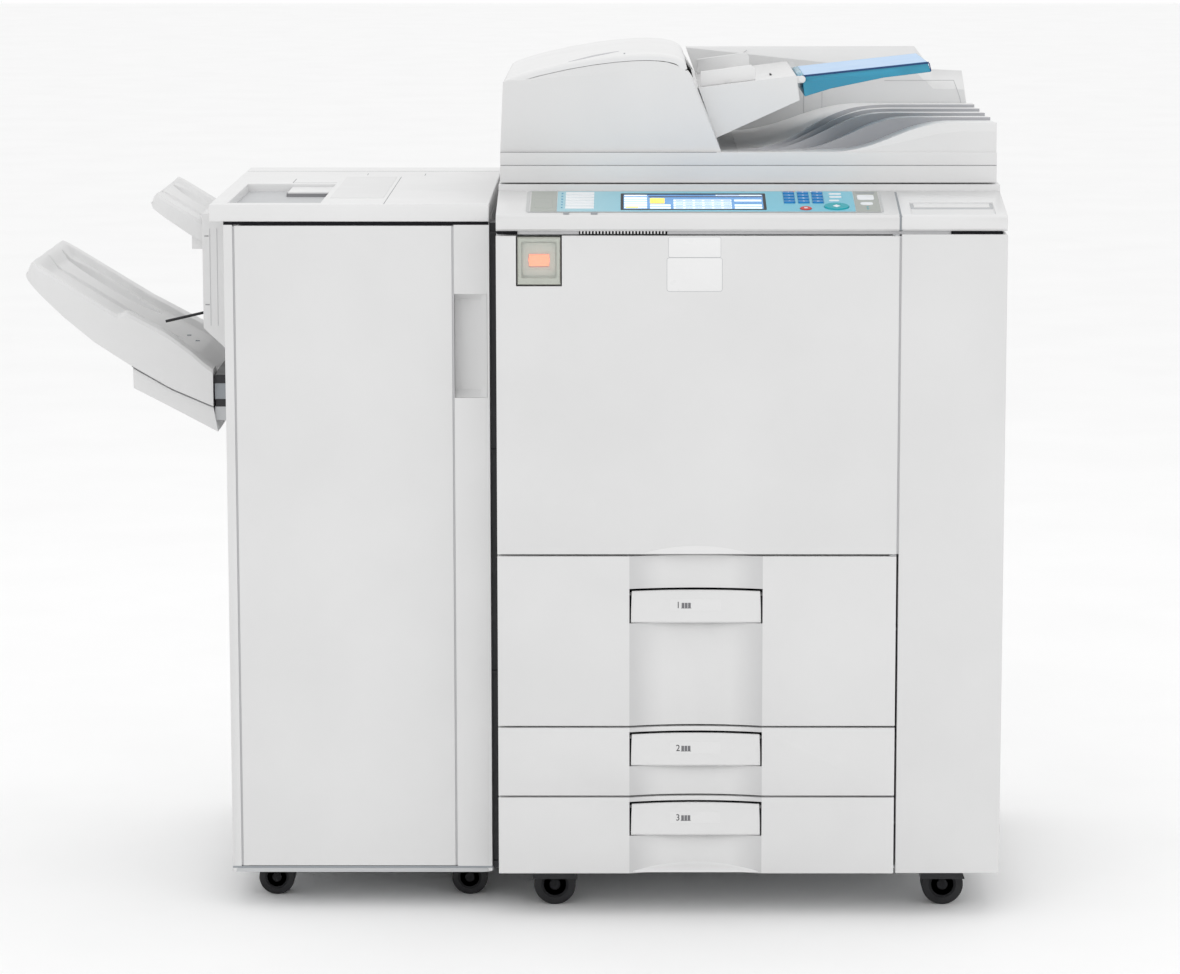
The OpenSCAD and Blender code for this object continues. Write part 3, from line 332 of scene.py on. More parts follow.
def grid_faces(rows, columns, wrap_rows=False, wrap_columns=False):
    """Quads of a grid of rows by columns points, row after row."""
    r = np.arange(rows if wrap_rows else rows - 1)
    c = np.arange(columns if wrap_columns else columns - 1)
    rr, cc = np.meshgrid(r, c, indexing="ij")
    r2, c2 = (rr + 1) % rows, (cc + 1) % columns
    quads = np.stack([rr * columns + cc, rr * columns + c2, r2 * columns + c2, r2 * columns + cc], -1)
    return quads.reshape(-1, 4).tolist()


def inward(outline):
    """Unit-offset directions of a closed outline's points, pointing in, mitred at the corners."""
    along = np.roll(outline, -1, 0) - outline
    along /= np.maximum(np.linalg.norm(along, axis=1, keepdims=True), 1e-9)
    normal = np.stack([-along[:, 1], along[:, 0]], 1)
    mitre = normal + np.roll(normal, 1, 0)
    length = np.sum(mitre * normal, 1, keepdims=True)
    mitre = mitre / np.maximum(length, 0.5)
    turn = np.sum(outline[:, 0] * np.roll(outline[:, 1], -1) - np.roll(outline[:, 0], -1) * outline[:, 1])
    return mitre if turn > 0 else -mitre


def rounded(w, h, r, steps=5, middle=(0.0, 0.0)):
    """A w by h rectangle about middle with corners of radius r, each corner a quarter circle."""
    r = min(r, w / 2 - 0.01, h / 2 - 0.01)
    angles = np.linspace(0, math.pi / 2, steps + 1)
    corners = []
    for k, (sx, sy) in enumerate(((1, 1), (-1, 1), (-1, -1), (1, -1))):
        a = angles + k * math.pi / 2
        corners.append(np.stack([sx * (w / 2 - r) + r * np.cos(a), sy * (h / 2 - r) + r * np.sin(a)], 1))
    return np.concatenate(corners) + np.array(middle)


def disc(r, n=32, middle=(0.0, 0.0)):
    """A circle of radius r about middle."""
    a = np.linspace(0, 2 * math.pi, n, endpoint=False)
    return np.stack([r * np.cos(a), r * np.sin(a)], 1) + np.array(middle)


def slab_shape(outline, low, high, edge, steps=3):
    """Points [u, v, w] and faces: the outline at low, carried to high, its top edge a quarter round."""
    outline = np.asarray(outline, dtype=float)
    direction = inward(outline)
    a = np.linspace(0, math.pi / 2, steps + 1)
    insets = np.concatenate([[0.0], edge * (1 - np.cos(a))])
    heights = np.concatenate([[low], high - edge + edge * np.sin(a)])
    rings = outline[None] + direction[None] * insets[:, None, None]
    w = np.broadcast_to(heights[:, None, None], rings.shape[:2] + (1,))
    points = np.concatenate([rings, w], 2).reshape(-1, 3)
    n = len(outline)
    faces = grid_faces(len(insets), n, wrap_columns=True)
    faces.append(list(range(n))[::-1])
    faces.append([(len(insets) - 1) * n + k for k in range(n)])
    return points, faces


def turned(points, origin, u, v):
    """[u, v, w] points placed at origin with w along u x v."""
    w = np.cross(u, v)
    return np.asarray(origin) + points[:, :1] * u + points[:, 1:2] * v + points[:, 2:] * w


def many(name, shapes, material, body="machine"):
    """One piece made of several shapes, each (points, faces)."""
    points, faces, count = [], [], 0
    for p, f in shapes:
        points.append(p)
        faces.extend([[i + count for i in face] for face in f])
        count += len(p)
    return make(name, np.concatenate(points), faces, material, body)


def lathe(profile, centre, axis, across, n=48):
    """Points and faces of a closed [radius, height] profile turned about axis through centre."""
    profile = np.asarray(profile, dtype=float)
    a = np.linspace(0, 2 * math.pi, n, endpoint=False)
    other = np.cross(axis, across)
    ring = np.cos(a)[:, None] * across + np.sin(a)[:, None] * other
    points = (np.asarray(centre) + profile[None, :, 0, None] * ring[:, None]
              + profile[None, :, 1, None] * axis)
    return points.reshape(-1, 3), grid_faces(n, len(profile), wrap_rows=True, wrap_columns=True)


def rod(r, length, foot, axis, across, n):
    """A plain round bar that starts at foot and runs along axis."""
    return lathe([[0.01, 0.0], [r, 0.0], [r, length], [0.01, length]], foot, axis, across, n)


def swept(line, ys):
    """A polyline of [x, z] carried across the depths ys: a grid of points."""
    grid = np.broadcast_to(line[:, None, :], (len(line), len(ys), 2))
    return np.stack([grid[..., 0], np.broadcast_to(ys, grid.shape[:2]), grid[..., 1]], -1)


def resample(line, count):
    """count points spaced evenly along a polyline of [x, z]."""
    line = np.asarray(line, float)
    step = np.concatenate([[0.0], np.cumsum(np.linalg.norm(np.diff(line, axis=0), axis=1))])
    s = np.linspace(0.0, step[-1], count)
    return np.stack([np.interp(s, step, line[:, 0]), np.interp(s, step, line[:, 1])], 1)


LID_PROFILE = np.array([
    (8.3, -39.0), (9.0, -36.2), (16.0, -33.6), (32.0, -28.0), (55.0, -21.5),
    (95.0, -12.6), (130.0, -6.6), (160.0, -2.9), (185.0, -0.9), (205.0, -0.3),
    (227.0, -1.4), (243.0, -4.6), (251.0, -8.2), (256.5, -13.5), (259.5, -21.0)])
LID_DEPTH = 8.6


def lid_lines():
    """The feeder lid's face line, its outward directions and its underside line, as [x, z] points."""
    line = resample(LID_PROFILE, 90)
    line[1:-1] = (line[:-2] + 2.0 * line[1:-1] + line[2:]) / 4.0
    line = line + [0.0, span("feeder_top_cover")[1][2]]
    along = np.gradient(line, axis=0)
    along /= np.linalg.norm(along, axis=1, keepdims=True)
    out = np.stack([-along[:, 1], along[:, 0]], 1)
    return line, out, line - out * LID_DEPTH


def softened(node, width, material, reshape=None):
    """A copy of a CAD node with its edges rounded to width millimetres; it stands for the node.

    reshape, if given, moves the copy's points (machine millimetres) before the edges are rounded.
    """
    source = frame["nodes"][node]
    mesh = source.data.copy()
    if reshape:
        points = np.empty(len(mesh.vertices) * 3)
        mesh.vertices.foreach_get("co", points)
        moved = (points.reshape(-1, 3) - CORNER) / MM
        reshape(moved)
        mesh.vertices.foreach_set("co", at(moved).reshape(-1))
    work = bmesh.new()
    work.from_mesh(mesh)
    bmesh.ops.remove_doubles(work, verts=work.verts, dist=2e-6)
    bmesh.ops.dissolve_limit(work, angle_limit=math.radians(0.4), verts=work.verts, edges=work.edges)
    work.to_mesh(mesh)
    work.free()
    mesh.materials.clear()
    mesh.materials.append(material)
    obj = bpy.data.objects.new(node + "_moulding", mesh)
    bpy.context.scene.collection.objects.link(obj)
    bevel = obj.modifiers.new("edges", "BEVEL")
    bevel.width = width * MM
    bevel.segments = BEVEL_SEGMENTS
    bevel.limit_method = "ANGLE"
    bevel.angle_limit = math.radians(BEVEL_ABOVE)
    bevel.use_clamp_overlap = True
    bevel.harden_normals = True
    mesh.shade_smooth()
    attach(obj, source["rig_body"])
    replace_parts(obj, node)
    return obj


def finish_node(node, material):
    """Gives a CAD node that is shown as it is its material."""
    mesh = frame["nodes"][node].data
    mesh.materials.clear()
    mesh.materials.append(material)


def smooth(a):
    """0 below 0, 1 above 1 and 3a^2 - 2a^3 between."""
    a = np.clip(a, 0.0, 1.0)
    return a * a * (3.0 - 2.0 * a)


# ---- covers kept from the CAD shapes

SOFTENED = (
    (1.6, WHITE, "front_door column_cover"),
    (0.8, WHITE, "left_cover right_cover rear_cover"),
    (0.8, PALE_GREY, "inner_cover"),
    (1.2, DRAWER_WHITE_PAINTED_SHADE, "upper_drawer middle_drawer lower_drawer"),
    (0.8, WHITE_CAP, "bypass_tray"),
    (1.5, WHITE, "scanner_housing control_panel"),
    (1.5, WHITE_CAP, "panel_end_cap"),
    (2.0, WHITE, "feeder_base"),
    (1.8, WHITE, "feeder_housing"),
    (2.0, WHITE, "feeder_table"),
    (1.4, WHITE, "finisher_casing"),
    (1.6, WHITE, "finisher_door"),
    (1.4, WHITE_CAP, "finisher_lid"),
    (0.8, SWITCH_FRAME, "switch_bezel"),
    (0.8, LAMP, "power_rocker"),
    (0.5, FLAP, "switch_flap"),
    (0.8, WHITE_CAP, "front_guide rear_guide"),
    (1.0, EXTENDER, "tray_extender"),
    (0.6, DARK, "power_inlet"),
    (1.0, DARK, "scan_carriage"),
    (1.5, MID_GREY, "laser_unit"),
    (1.2, DARK, "left_caster_fork right_caster_fork"),
    (1.2, DARK, "finisher_left_fork finisher_right_fork rear_caster_forks"),
    (2.0, TYRE, "left_caster_wheel right_caster_wheel rear_wheels"),
    (2.0, TYRE, "finisher_left_wheel finisher_right_wheel finisher_rear_wheels"),
    (1.0, WHITE, "feeder_exit_tray"),
)


def set_door_back(p):
    """The door's front steps back half a millimetre, so that the badge plates stay within its depth."""
    p[np.abs(p[:, 1]) < 0.02, 1] = 0.5


def slant_side_block(p):
    """The side block's foot slants up to the left, its back and underside step in, the grip widens."""
    foot = (p[:, 0] < -405.0) & (p[:, 2] < 762.0)
    p[foot, 2] += 40.0
    p[p[:, 2] < 50.05, 2] = 50.8
    wall = (np.abs(p[:, 0] + 19.0) < 0.1) & (p[:, 1] < 74.1) & (np.abs(p[:, 2] - 787.5) < 71.6)
    p[wall, 0] = -14.0
    p[p[:, 1] > 672.98, 1] = 672.5


def lower_terrace(p):
    """The raised end of the exit tray sinks under the banded top."""
    end = (p[:, 2] > 1046.0) & (p[:, 1] < 561.0) & (p[:, 0] > 480.0)
    p[end, 2] = 1045.0 + (p[end, 2] - 1045.0) * 0.7


def lower_housing(p):
    """The housing's walls end just under the lid's underside, and close in on its left end."""
    under = lid_lines()[2]
    walls = (p[:, 2] > 1145.5) & (p[:, 0] > 15.0) & (p[:, 0] < 262.0)
    x = p[walls, 0]
    fit = np.interp(x, under[:, 0], under[:, 1]) - 0.6 + 8.2 * (1.0 - smooth((x - 12.0) / 26.0))
    p[walls, 2] = np.minimum(p[walls, 2], fit)


def set_side_in(p):
    """The right cover's outer face steps in for its fixings."""
    p[p[:, 0] > 689.98, 0] = 689.5


def move_pocket(p):
    """The pocket in the finisher's lid lies nearer to the front lip and to the left edge."""
    pocket = (np.abs(p[:, 0] + 301.0) < 65.0) & (np.abs(p[:, 1] - 317.0) < 163.0)
    p[pocket, 1] -= 85.0
    p[pocket & (p[:, 0] < -350.0), 0] -= 8.0


RESHAPED = {
    "front_door": set_door_back, "right_cover": set_side_in, "bypass_tray": set_side_in,
    "feeder_housing": lower_housing, "feeder_exit_tray": lower_terrace,
    "finisher_casing": slant_side_block, "finisher_lid": move_pocket,
}
for width, material, nodes in SOFTENED:
    for node in nodes.split():
        softened(node, width, material, RESHAPED.get(node))

PLAIN = {
    "base_frame": STEEL, "drawer_rails": STEEL, "levelling_feet": DARK, "exposure_glass": GLASS,
    "touch_screen": SCREEN, "number_keys": KEY_BLUE, "start_key": KEY_TEAL, "stop_key": KEY_RED,
    "photoconductor_drum": DRUM, "fuser_hot_roller": GROUND_STEEL, "fuser_pressure_roller": SILICONE,
    "toner_bottle": DARK, "feed_roller": TYRE, "feeler_arm": DARK, "upper_drawer_handle": WHITE_CAP,
    "middle_drawer_handle": WHITE_CAP, "lower_drawer_handle": WHITE_CAP,
}
for node, material in PLAIN.items():
    finish_node(node, material)

# ---- shared building blocks

FRONT = (X, Z)
BACK = (-X, Z)
RIGHT = (Y, Z)
TOP = (X, Y)
ORIGIN = np.zeros(3)
PANEL_TILT = math.radians(10.0)
PANEL_UP = np.array([0.0, math.cos(PANEL_TILT), math.sin(PANEL_TILT)])
PANEL = (X, PANEL_UP)
PANEL_FOOT = np.array([0.0, 5.0, 971.0])


def box_shape(low, high):
    """Points and faces of a plain block, for the hidden parts of a joined piece."""
    low, high = np.array(low, float), np.array(high, float)
    picks = np.array([[0, 0, 0], [1, 0, 0], [1, 1, 0], [0, 1, 0], [0, 0, 1], [1, 0, 1], [1, 1, 1], [0, 1, 1]])
    faces = [[0, 3, 2, 1], [4, 5, 6, 7], [0, 1, 5, 4], [1, 2, 6, 5], [2, 3, 7, 6], [3, 0, 4, 7]]
    return low + picks * (high - low), faces


def flat_shape(outline, low, high, edge, origin=ORIGIN, plane=FRONT):
    """slab_shape placed on a plane given as (u, v)."""
    points, faces = slab_shape(outline, low, high, edge)
    return turned(points, origin, *plane), faces


def pierced_shape(outer, holes, low, high, origin=ORIGIN, plane=FRONT):
    """A flat plate from low to high with holes through it: both faces filled, every loop walled."""
    loops = [np.asarray(loop, float) for loop in [outer, *holes]]
    flat = np.concatenate(loops)
    n = len(flat)
    triangles = tessellate_polygon([[Vector((p[0], p[1], 0.0)) for p in loop] for loop in loops])
    bottom = np.column_stack([flat, np.full(n, low)])
    top = np.column_stack([flat, np.full(n, high)])
    faces = [list(t) for t in triangles] + [[i + n for i in t][::-1] for t in triangles]
    start = 0
    for loop in loops:
        k = np.arange(len(loop))
        j = (k + 1) % len(loop)
        faces.extend(np.stack([start + k, start + j, start + j + n, start + k + n], 1).tolist())
        start += len(loop)
    return turned(np.concatenate([bottom, top]), origin, *plane), faces


def shell_shape(top, bottom):
    """A closed shell between two equal grids of points, rows by columns by 3."""
    rows, columns = top.shape[:2]
    n = rows * columns
    index = np.arange(n).reshape(rows, columns)
    rim = np.concatenate([index[0, :], index[1:, -1], index[-1, -2::-1], index[-2:0:-1, 0]])
    after = np.roll(rim, -1)
    upper = grid_faces(rows, columns)
    lower = [[i + n for i in face][::-1] for face in upper]
    walls = np.stack([rim, after, after + n, rim + n], 1).tolist()
    return np.concatenate([top.reshape(-1, 3), bottom.reshape(-1, 3)]), upper + lower + walls


def lettering(text, size, thick):
    """Points [u, v, w] and faces of plain numerals of a given height, centred on the origin."""
    curve = bpy.data.curves.new("numerals", "FONT")
    curve.body = text
    curve.align_x = "CENTER"
    curve.align_y = "CENTER"
    curve.extrude = 0.5
    holder = bpy.data.objects.new("numerals", curve)
    mesh = bpy.data.meshes.new_from_object(holder)
    points = np.empty(len(mesh.vertices) * 3)
    mesh.vertices.foreach_get("co", points)
    points = points.reshape(-1, 3) * np.array([size * 1.4, size * 1.4, thick])
    faces = [list(face.vertices) for face in mesh.polygons]
    bpy.data.objects.remove(holder)
    bpy.data.meshes.remove(mesh)
    bpy.data.curves.remove(curve)
    return points, faces


# ---- drawer handles

HOLLOW_X = 271.0
HOLLOW_R = 351.0
HOLLOW_Y = 12.0 - HOLLOW_R
HANDLE_DROP = 42.0
HANDLE_LEAN = 41.0
HANDLE_TALL = 43.4
HANDLE_RIM = 1.3


def hollow(x):
    """Depth of the hollow down the fronts at x: a circle's arc."""
    return HOLLOW_Y + np.sqrt(HOLLOW_R ** 2 - (x - HOLLOW_X) ** 2)


def handle_face(x, z, top):
    """Depth of a handle's face: the hollow's arc along the top edge, a straight line along the foot."""
    t = np.clip((z - (top - HANDLE_LEAN)) / HANDLE_LEAN, 0.0, 1.0)
    t = smooth(t) * 0.35 + t * 0.65
    return hollow(x) * t + 0.7 * (1.0 - t)


def rounding(edge, rim):
    """How far a surface falls back at a distance edge from its end, for a quarter round of radius rim."""
    return rim - np.sqrt(np.maximum(rim ** 2 - np.maximum(rim - edge, 0.0) ** 2, 0.0))


def handle_grip(node, drawer, number):
    """A drawer handle with a leaning face, rounded rim, its lugs, label plate, numeral and paper mark."""
    top = span(node)[1][2]
    body = body_of(node)
    uu, vv = np.meshgrid(np.linspace(-1.0, 1.0, 49), np.linspace(0.0, 1.0, 25))
    half = 88.8 - 1.3 * vv ** 2
    x = HOLLOW_X + half * uu
    z = top - HANDLE_DROP + HANDLE_TALL * vv
    edge = np.minimum(np.minimum((1.0 - np.abs(uu)) * half, vv * HANDLE_TALL), (1.0 - vv) * HANDLE_TALL)
    lift = rounding(edge, HANDLE_RIM)
    y = handle_face(x, z, top) + lift
    back = np.stack([x, y + 5.0 - lift, z], -1)
    lugs = [box_shape([s, 6.0, top - 9.0], [s + 5.0, 19.0, top - 1.5]) for s in (184.0, 353.0)]
    pin = rod(2.5, 193.0, [174.5, 16.0, top - 5.0], X, Z, 20)
    grip = many(node + "_grip", [shell_shape(np.stack([x, y, z], -1), back), *lugs, pin], HANDLE, body)
    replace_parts(grip, node)
    # A dark plate set behind the handle: painted shadow in the recess there.
    well = flat_shape(rounded(180.0, 46.0, 1.0, 2, (HOLLOW_X, top - 18.5)), -20.9, -20.4, 0.1)
    many(node + "_well", [well], GAP_SHADOW, drawer)

    def on_face(points, lift):
        """Points [x, z, w] laid on the handle's face, w out of it."""
        place = np.empty_like(points)
        place[:, 0], place[:, 2] = points[:, 0], points[:, 1]
        place[:, 1] = handle_face(points[:, 0], points[:, 1], top) - points[:, 2] - lift
        return place

    def patch(x0, x1, z0, z1, thick):
        """A thin plate that follows the face between two x and two z."""
        px, pz = np.meshgrid(np.linspace(x0, x1, 15), np.linspace(z0, z1, 5))
        py = handle_face(px, pz, top)
        return shell_shape(np.stack([px, py - thick, pz], -1), np.stack([px, py + 0.5, pz], -1))

    many(node + "_label", [patch(236.0, 305.0, top - 25.5, top - 11.0, 0.25)], LABEL, body)
    mark = [patch(251.5 + 4.4 * k, 255.1 + 4.4 * k, top - 22.3, top - 15.6, 0.42) for k in range(3)]
    mark.append(patch(250.6, 264.9, top - 22.9, top - 22.3, 0.42))
    many(node + "_paper_mark", mark, MARK_SOFT, body)
    points, faces = lettering(number, 8.6, 0.2)
    points[:, 0] += 246.8
    points[:, 1] += top - 18.8
    many(node + "_numeral", [(on_face(points, 0.4), faces)], MARK, body)


for numeral, drawer in (("1", "upper_drawer"), ("2", "middle_drawer"), ("3", "lower_drawer")):
    handle_grip(drawer + "_handle", drawer, numeral)


def foot_ramps():
    """Where the hollow runs out: a crescent of painted highlight at the door's foot and a ramp at the lowest
    drawer's.
    """
    u, v = np.meshgrid(np.linspace(-1.0, 1.0, 41), np.linspace(0.0, 1.0, 11))
    x = HOLLOW_X + 70.0 * u
    z = span("front_door")[0][2] + 1.8 + 10.0 * v * (1.0 - 0.96 * u ** 2)
    face = np.stack([x, np.full_like(x, 0.25), z], -1)
    # The crescent is a thin plate in a lighter white: a painted highlight where the door's foot curves.
    many("door_foot_painted_highlight", [shell_shape(face, face + [0.0, 1.0, 0.0])], WHITE_CAP, "front_door")
    x = HOLLOW_X + 86.0 * u
    z = span("lower_drawer")[0][2] + 1.5 + 12.5 * v * (1.0 - 0.90 * u ** 2)
    y = hollow(x) * smooth(v) + 0.7 * (1.0 - smooth(v)) - 0.1
    back = np.stack([x, np.full_like(x, 13.0), z], -1)
    many("drawer_foot_ramp", [shell_shape(np.stack([x, y, z], -1), back)], HANDLE, "lower_drawer")


foot_ramps()


# ---- blank badge and power switch

def blank_badge():
    """Two blank plates, one above the other, on the front door, each on a slightly wider rim."""
    upper, lower = (268.0, 928.0), (268.0, 891.0)
    rims = [rounded(75.4, 46.4, 3.6, 4, lower), rounded(71.2, 28.2, 2.5, 4, upper)]
    many("badge_rim", [flat_shape(o, -1.0, -0.42, 0.1) for o in rims], PALE_GREY, "front_door")
    many("badge_plates", [flat_shape(rounded(70.0, 27.0, 2.0, 4, upper), -1.0, -0.12, 0.3),
                          flat_shape(rounded(74.0, 45.0, 3.0, 4, lower), -1.0, -0.02, 0.5)],
         BADGE, "front_door")


def power_switch():
    """The switch's stepped surround behind its clear flap, with the flap's grip ledge."""
    low, high = span("switch_bezel")
    cx, cz = (low[0] + high[0]) / 2, (low[2] + high[2]) / 2
    w, h = high[0] - low[0], high[2] - low[2]
    opening = rounded(29.0, 19.0, 2.0, 4, (cx, cz))
    face = pierced_shape(rounded(w - 8.4, h - 8.4, 2.0, 4, (cx, cz)), [opening], -14.0, -12.0)
    step = pierced_shape(rounded(w - 14.0, h - 20.0, 3.0, 4, (cx, cz + 2)),
                         [rounded(34.0, 25.0, 3.0, 4, (cx, cz))], -12.2, -9.5)
    many("switch_surround", [face, step], SWITCH_PLATE)
    rim = pierced_shape(rounded(w - 2.6, h - 3.0, 2.5, 4, (cx, cz - 0.5)),
                        [rounded(w - 10.0, h - 14.0, 2.0, 4, (cx, cz + 2.0))], -0.5, -0.05)
    ledge = flat_shape(rounded(w - 16.0, 3.0, 1.0, 3, (cx, low[2] + 5.0)), -0.9, -0.02, 0.3)
    many("switch_flap_rim", [rim, ledge], SWITCH_FRAME, "switch_flap")


blank_badge()
power_switch()


# ---- control panel

def on_panel(outline, low, high, edge=0.2):
    """A plate on the panel's sloping face: x across and distance up the slope."""
    return flat_shape(outline, low, high, edge, PANEL_FOOT, PANEL)


def pierced_panel(outer, holes, low, high):
    """A plate with holes on the panel's sloping face."""
    return pierced_shape(outer, holes, low, high, PANEL_FOOT, PANEL)


def bar(x0, x1, s0, s1, r=0.4):
    """A rounded rectangle's outline between two x and two s."""
    return rounded(x1 - x0, s1 - s0, r, 3, ((x0 + x1) / 2, (s0 + s1) / 2))


KEY_X = [398.0, 417.5, 437.0]
KEY_S = [65.0, 80.5, 96.0, 111.5]
START_AT = (461.0, 42.0)
STOP_AT = (419.0, 32.0)


def panel_film():
    """The printed film over the slope, open around the screen and every key."""
    holes = [rounded(15.9, 11.9, 1.5, 4, (x, s)) for x in KEY_X for s in KEY_S]
    holes.append(disc(17.5, 40, START_AT))
    holes.append(disc(8.5, 28, STOP_AT))
    holes.append(bar(168.0, 366.0, 25.0, 111.0, 2.0))
    film = pierced_panel(bar(82.0, 486.0, 18.0, 122.0, 3.0), holes, -0.1, 0.35)
    many("panel_film", [film], OVERLAY)
    rim = pierced_panel(bar(40.0, 524.0, 14.0, 125.0, 7.0), [bar(44.0, 522.0, 17.0, 122.6, 4.0)], -0.1, 0.25)
    many("panel_rim", [rim], PANEL_RIM)
    many("end_plates", [on_panel(bar(46.0, 81.0, 18.0, 122.0, 3.0), -0.1, 0.5),
                        on_panel(bar(487.0, 520.0, 18.0, 122.0, 3.0), -0.1, 0.5)], PANEL_GREY)
    many("left_plate_step", [on_panel(bar(51.0, 76.0, 34.0, 78.0, 3.0), 0.3, 0.9, 0.4)], PANEL_GREY)


def number_caps():
    """Twelve keys with rounded rims, each with its generic numeral."""
    caps, marks = [], []
    names = ["*", "0", "#", "7", "8", "9", "4", "5", "6", "1", "2", "3"]
    for row, s in enumerate(KEY_S):
        for column, x in enumerate(KEY_X):
            caps.append(on_panel(rounded(15.0, 11.0, 2.2, 5, (x, s)), -8.0, 2.0, 0.9))
            points, faces = lettering(names[row * 3 + column], 4.6, 0.12)
            points[:, :2] += [x, s]
            points[:, 2] += 2.02
            marks.append((turned(points, PANEL_FOOT, *PANEL), faces))
    body = body_of("number_keys")
    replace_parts(many("number_caps", caps, KEY_BLUE, body), "number_keys")
    many("number_marks", marks, KEY_WHITE, body)


def round_caps():
    """The start key and the stop key: low domes with a rounded rim; start has a diamond, stop a square."""
    keys = (("start_key", START_AT, 17.0, KEY_TEAL), ("stop_key", STOP_AT, 8.0, KEY_RED))
    for node, place, r, material in keys:
        t = np.linspace(0.0, 1.0, 9)
        crown = np.stack([r - 1.2 + 1.2 * np.cos(t * math.pi / 2), 0.8 + 1.0 * np.sin(t * math.pi / 2)], 1)
        dish = np.array([[r * 0.6, 1.62], [r * 0.3, 1.52], [0.01, 1.5]])
        profile = np.concatenate([[[0.01, -8.0], [r, -8.0]], crown, dish])
        centre = PANEL_FOOT + place[0] * X + place[1] * PANEL_UP
        shape = lathe(profile, centre, np.cross(X, PANEL_UP), X, 56)
        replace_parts(many(node + "_cap", [shape], material, body_of(node)), node)
    mark = np.array([[6.5, 0.0], [0.0, 6.5], [-6.5, 0.0], [0.0, -6.5]]) * [0.8, 1.0] + START_AT
    many("start_mark", [on_panel(mark, 1.3, 1.75, 0.1)], KEY_WHITE, body_of("start_key"))
    stop = rounded(4.6, 4.6, 0.3, 2, STOP_AT)
    many("stop_mark", [on_panel(stop, 1.3, 1.75, 0.1)], KEY_WHITE, body_of("stop_key"))


def small_keys():
    """Function keys in six rows, the clear and mode keys, the row above the numbers and the lip's tabs."""
    steps = 14.6 * np.arange(6)
    keys = [on_panel(bar(93.0, 132.0, 31.0 + s, 42.6 + s, 1.4), 0.2, 1.3, 0.5) for s in steps]
    lamps = [on_panel(bar(87.0, 89.6, 35.0 + s, 38.4 + s, 0.8), 0.2, 0.8, 0.2) for s in steps]
    many("function_keys", keys, KEY_WHITE)
    many("function_lamps", lamps, OVERLAY_DEEP)
    many("lip_tabs", [on_panel(bar(91.0, 98.5, 4.0, 14.0, 1.0), -0.2, 0.7),
                      on_panel(bar(128.0, 137.0, 4.0, 14.0, 1.0), -0.2, 0.7)], MID_GREY)
    many("orange_keys", [on_panel(bar(391.0, 407.0, 119.2, 121.6, 0.8), 0.2, 0.8)], KEY_ORANGE)
    white = [bar(412.0, 424.0, 119.2, 121.6, 0.8), bar(428.0, 444.0, 119.2, 121.6, 0.8),
             bar(453.0, 470.0, 104.0, 111.0, 2.5), bar(453.0, 470.0, 88.0, 95.0, 2.5),
             bar(452.0, 466.0, 70.0, 76.0, 2.5)]
    many("mode_keys", [on_panel(o, 0.2, 1.1, 0.4) for o in white], KEY_WHITE)
    right = [bar(491.0, 514.0, 76.0, 100.0, 4.0), bar(494.0, 511.0, 50.0, 62.0, 4.0)]
    many("right_keys", [on_panel(o, 0.4, 1.5, 0.5) for o in right], KEY_WHITE)
    many("right_slot", [on_panel(bar(490.0, 516.0, 110.0, 116.0, 1.0), 0.4, 0.62, 0.1)], MID_GREY)
    many("right_lamps", [on_panel(disc(1.8, 16, (503.0, 40.0)), 0.4, 0.9, 0.3),
                         on_panel(disc(1.8, 16, (503.0, 30.0)), 0.4, 0.9, 0.3)], KEY_TEAL)


def screen_picture():
    """A generic touch screen picture: header, tabs, a lit button, rows of boxes, in thin coloured plates."""
    window = bar(172.0, 362.0, 30.0, 106.0, 1.0)
    bezel = pierced_panel(bar(168.2, 365.8, 25.2, 110.8, 2.0), [window], -1.5, 0.5)
    many("screen_bezel", [bezel], DARK)
    many("screen_header", [on_panel(bar(206.0, 361.0, 92.0, 99.0), -0.2, 0.06, 0.02)], SCREEN_DARK)
    light = [bar(173.0, 204.0, 98.0, 105.0), bar(298.0, 361.0, 100.0, 105.0)]
    light += [bar(173.0, 204.0, 35.0 + 12.0 * k, 44.5 + 12.0 * k) for k in range(5)]
    light += [bar(208.0, 236.0, 33.0 + 12.5 * k, 42.5 + 12.5 * k) for k in range(2)]
    light += [bar(240.0, 319.0, 33.0 + 12.5 * k, 42.5 + 12.5 * k) for k in range(4)]
    light += [bar(323.0, 360.0, 33.0 + 12.5 * k, 42.5 + 12.5 * k) for k in (0, 1, 3)]
    many("screen_boxes", [on_panel(o, -0.2, 0.08, 0.02) for o in light], SCREEN_LIGHT)
    many("screen_button", [on_panel(bar(208.0, 228.0, 60.0, 88.0, 1.0), -0.2, 0.1, 0.03),
                           on_panel(bar(175.0, 192.0, 36.5, 43.0, 1.0), -0.2, 0.14, 0.03)],
         SCREEN_YELLOW)
    rows = [bar(243.0 + 13.0 * i, 253.0 + 13.0 * i, 35.5 + 12.5 * k, 38.5 + 12.5 * k)
            for i in range(6) for k in range(4)]
    rows += [bar(326.0, 352.0, 60.5, 64.5), bar(300.0, 330.0, 101.5, 103.5)]
    many("screen_rows", [on_panel(o, -0.2, 0.12, 0.02) for o in rows], SCREEN_BLUE)


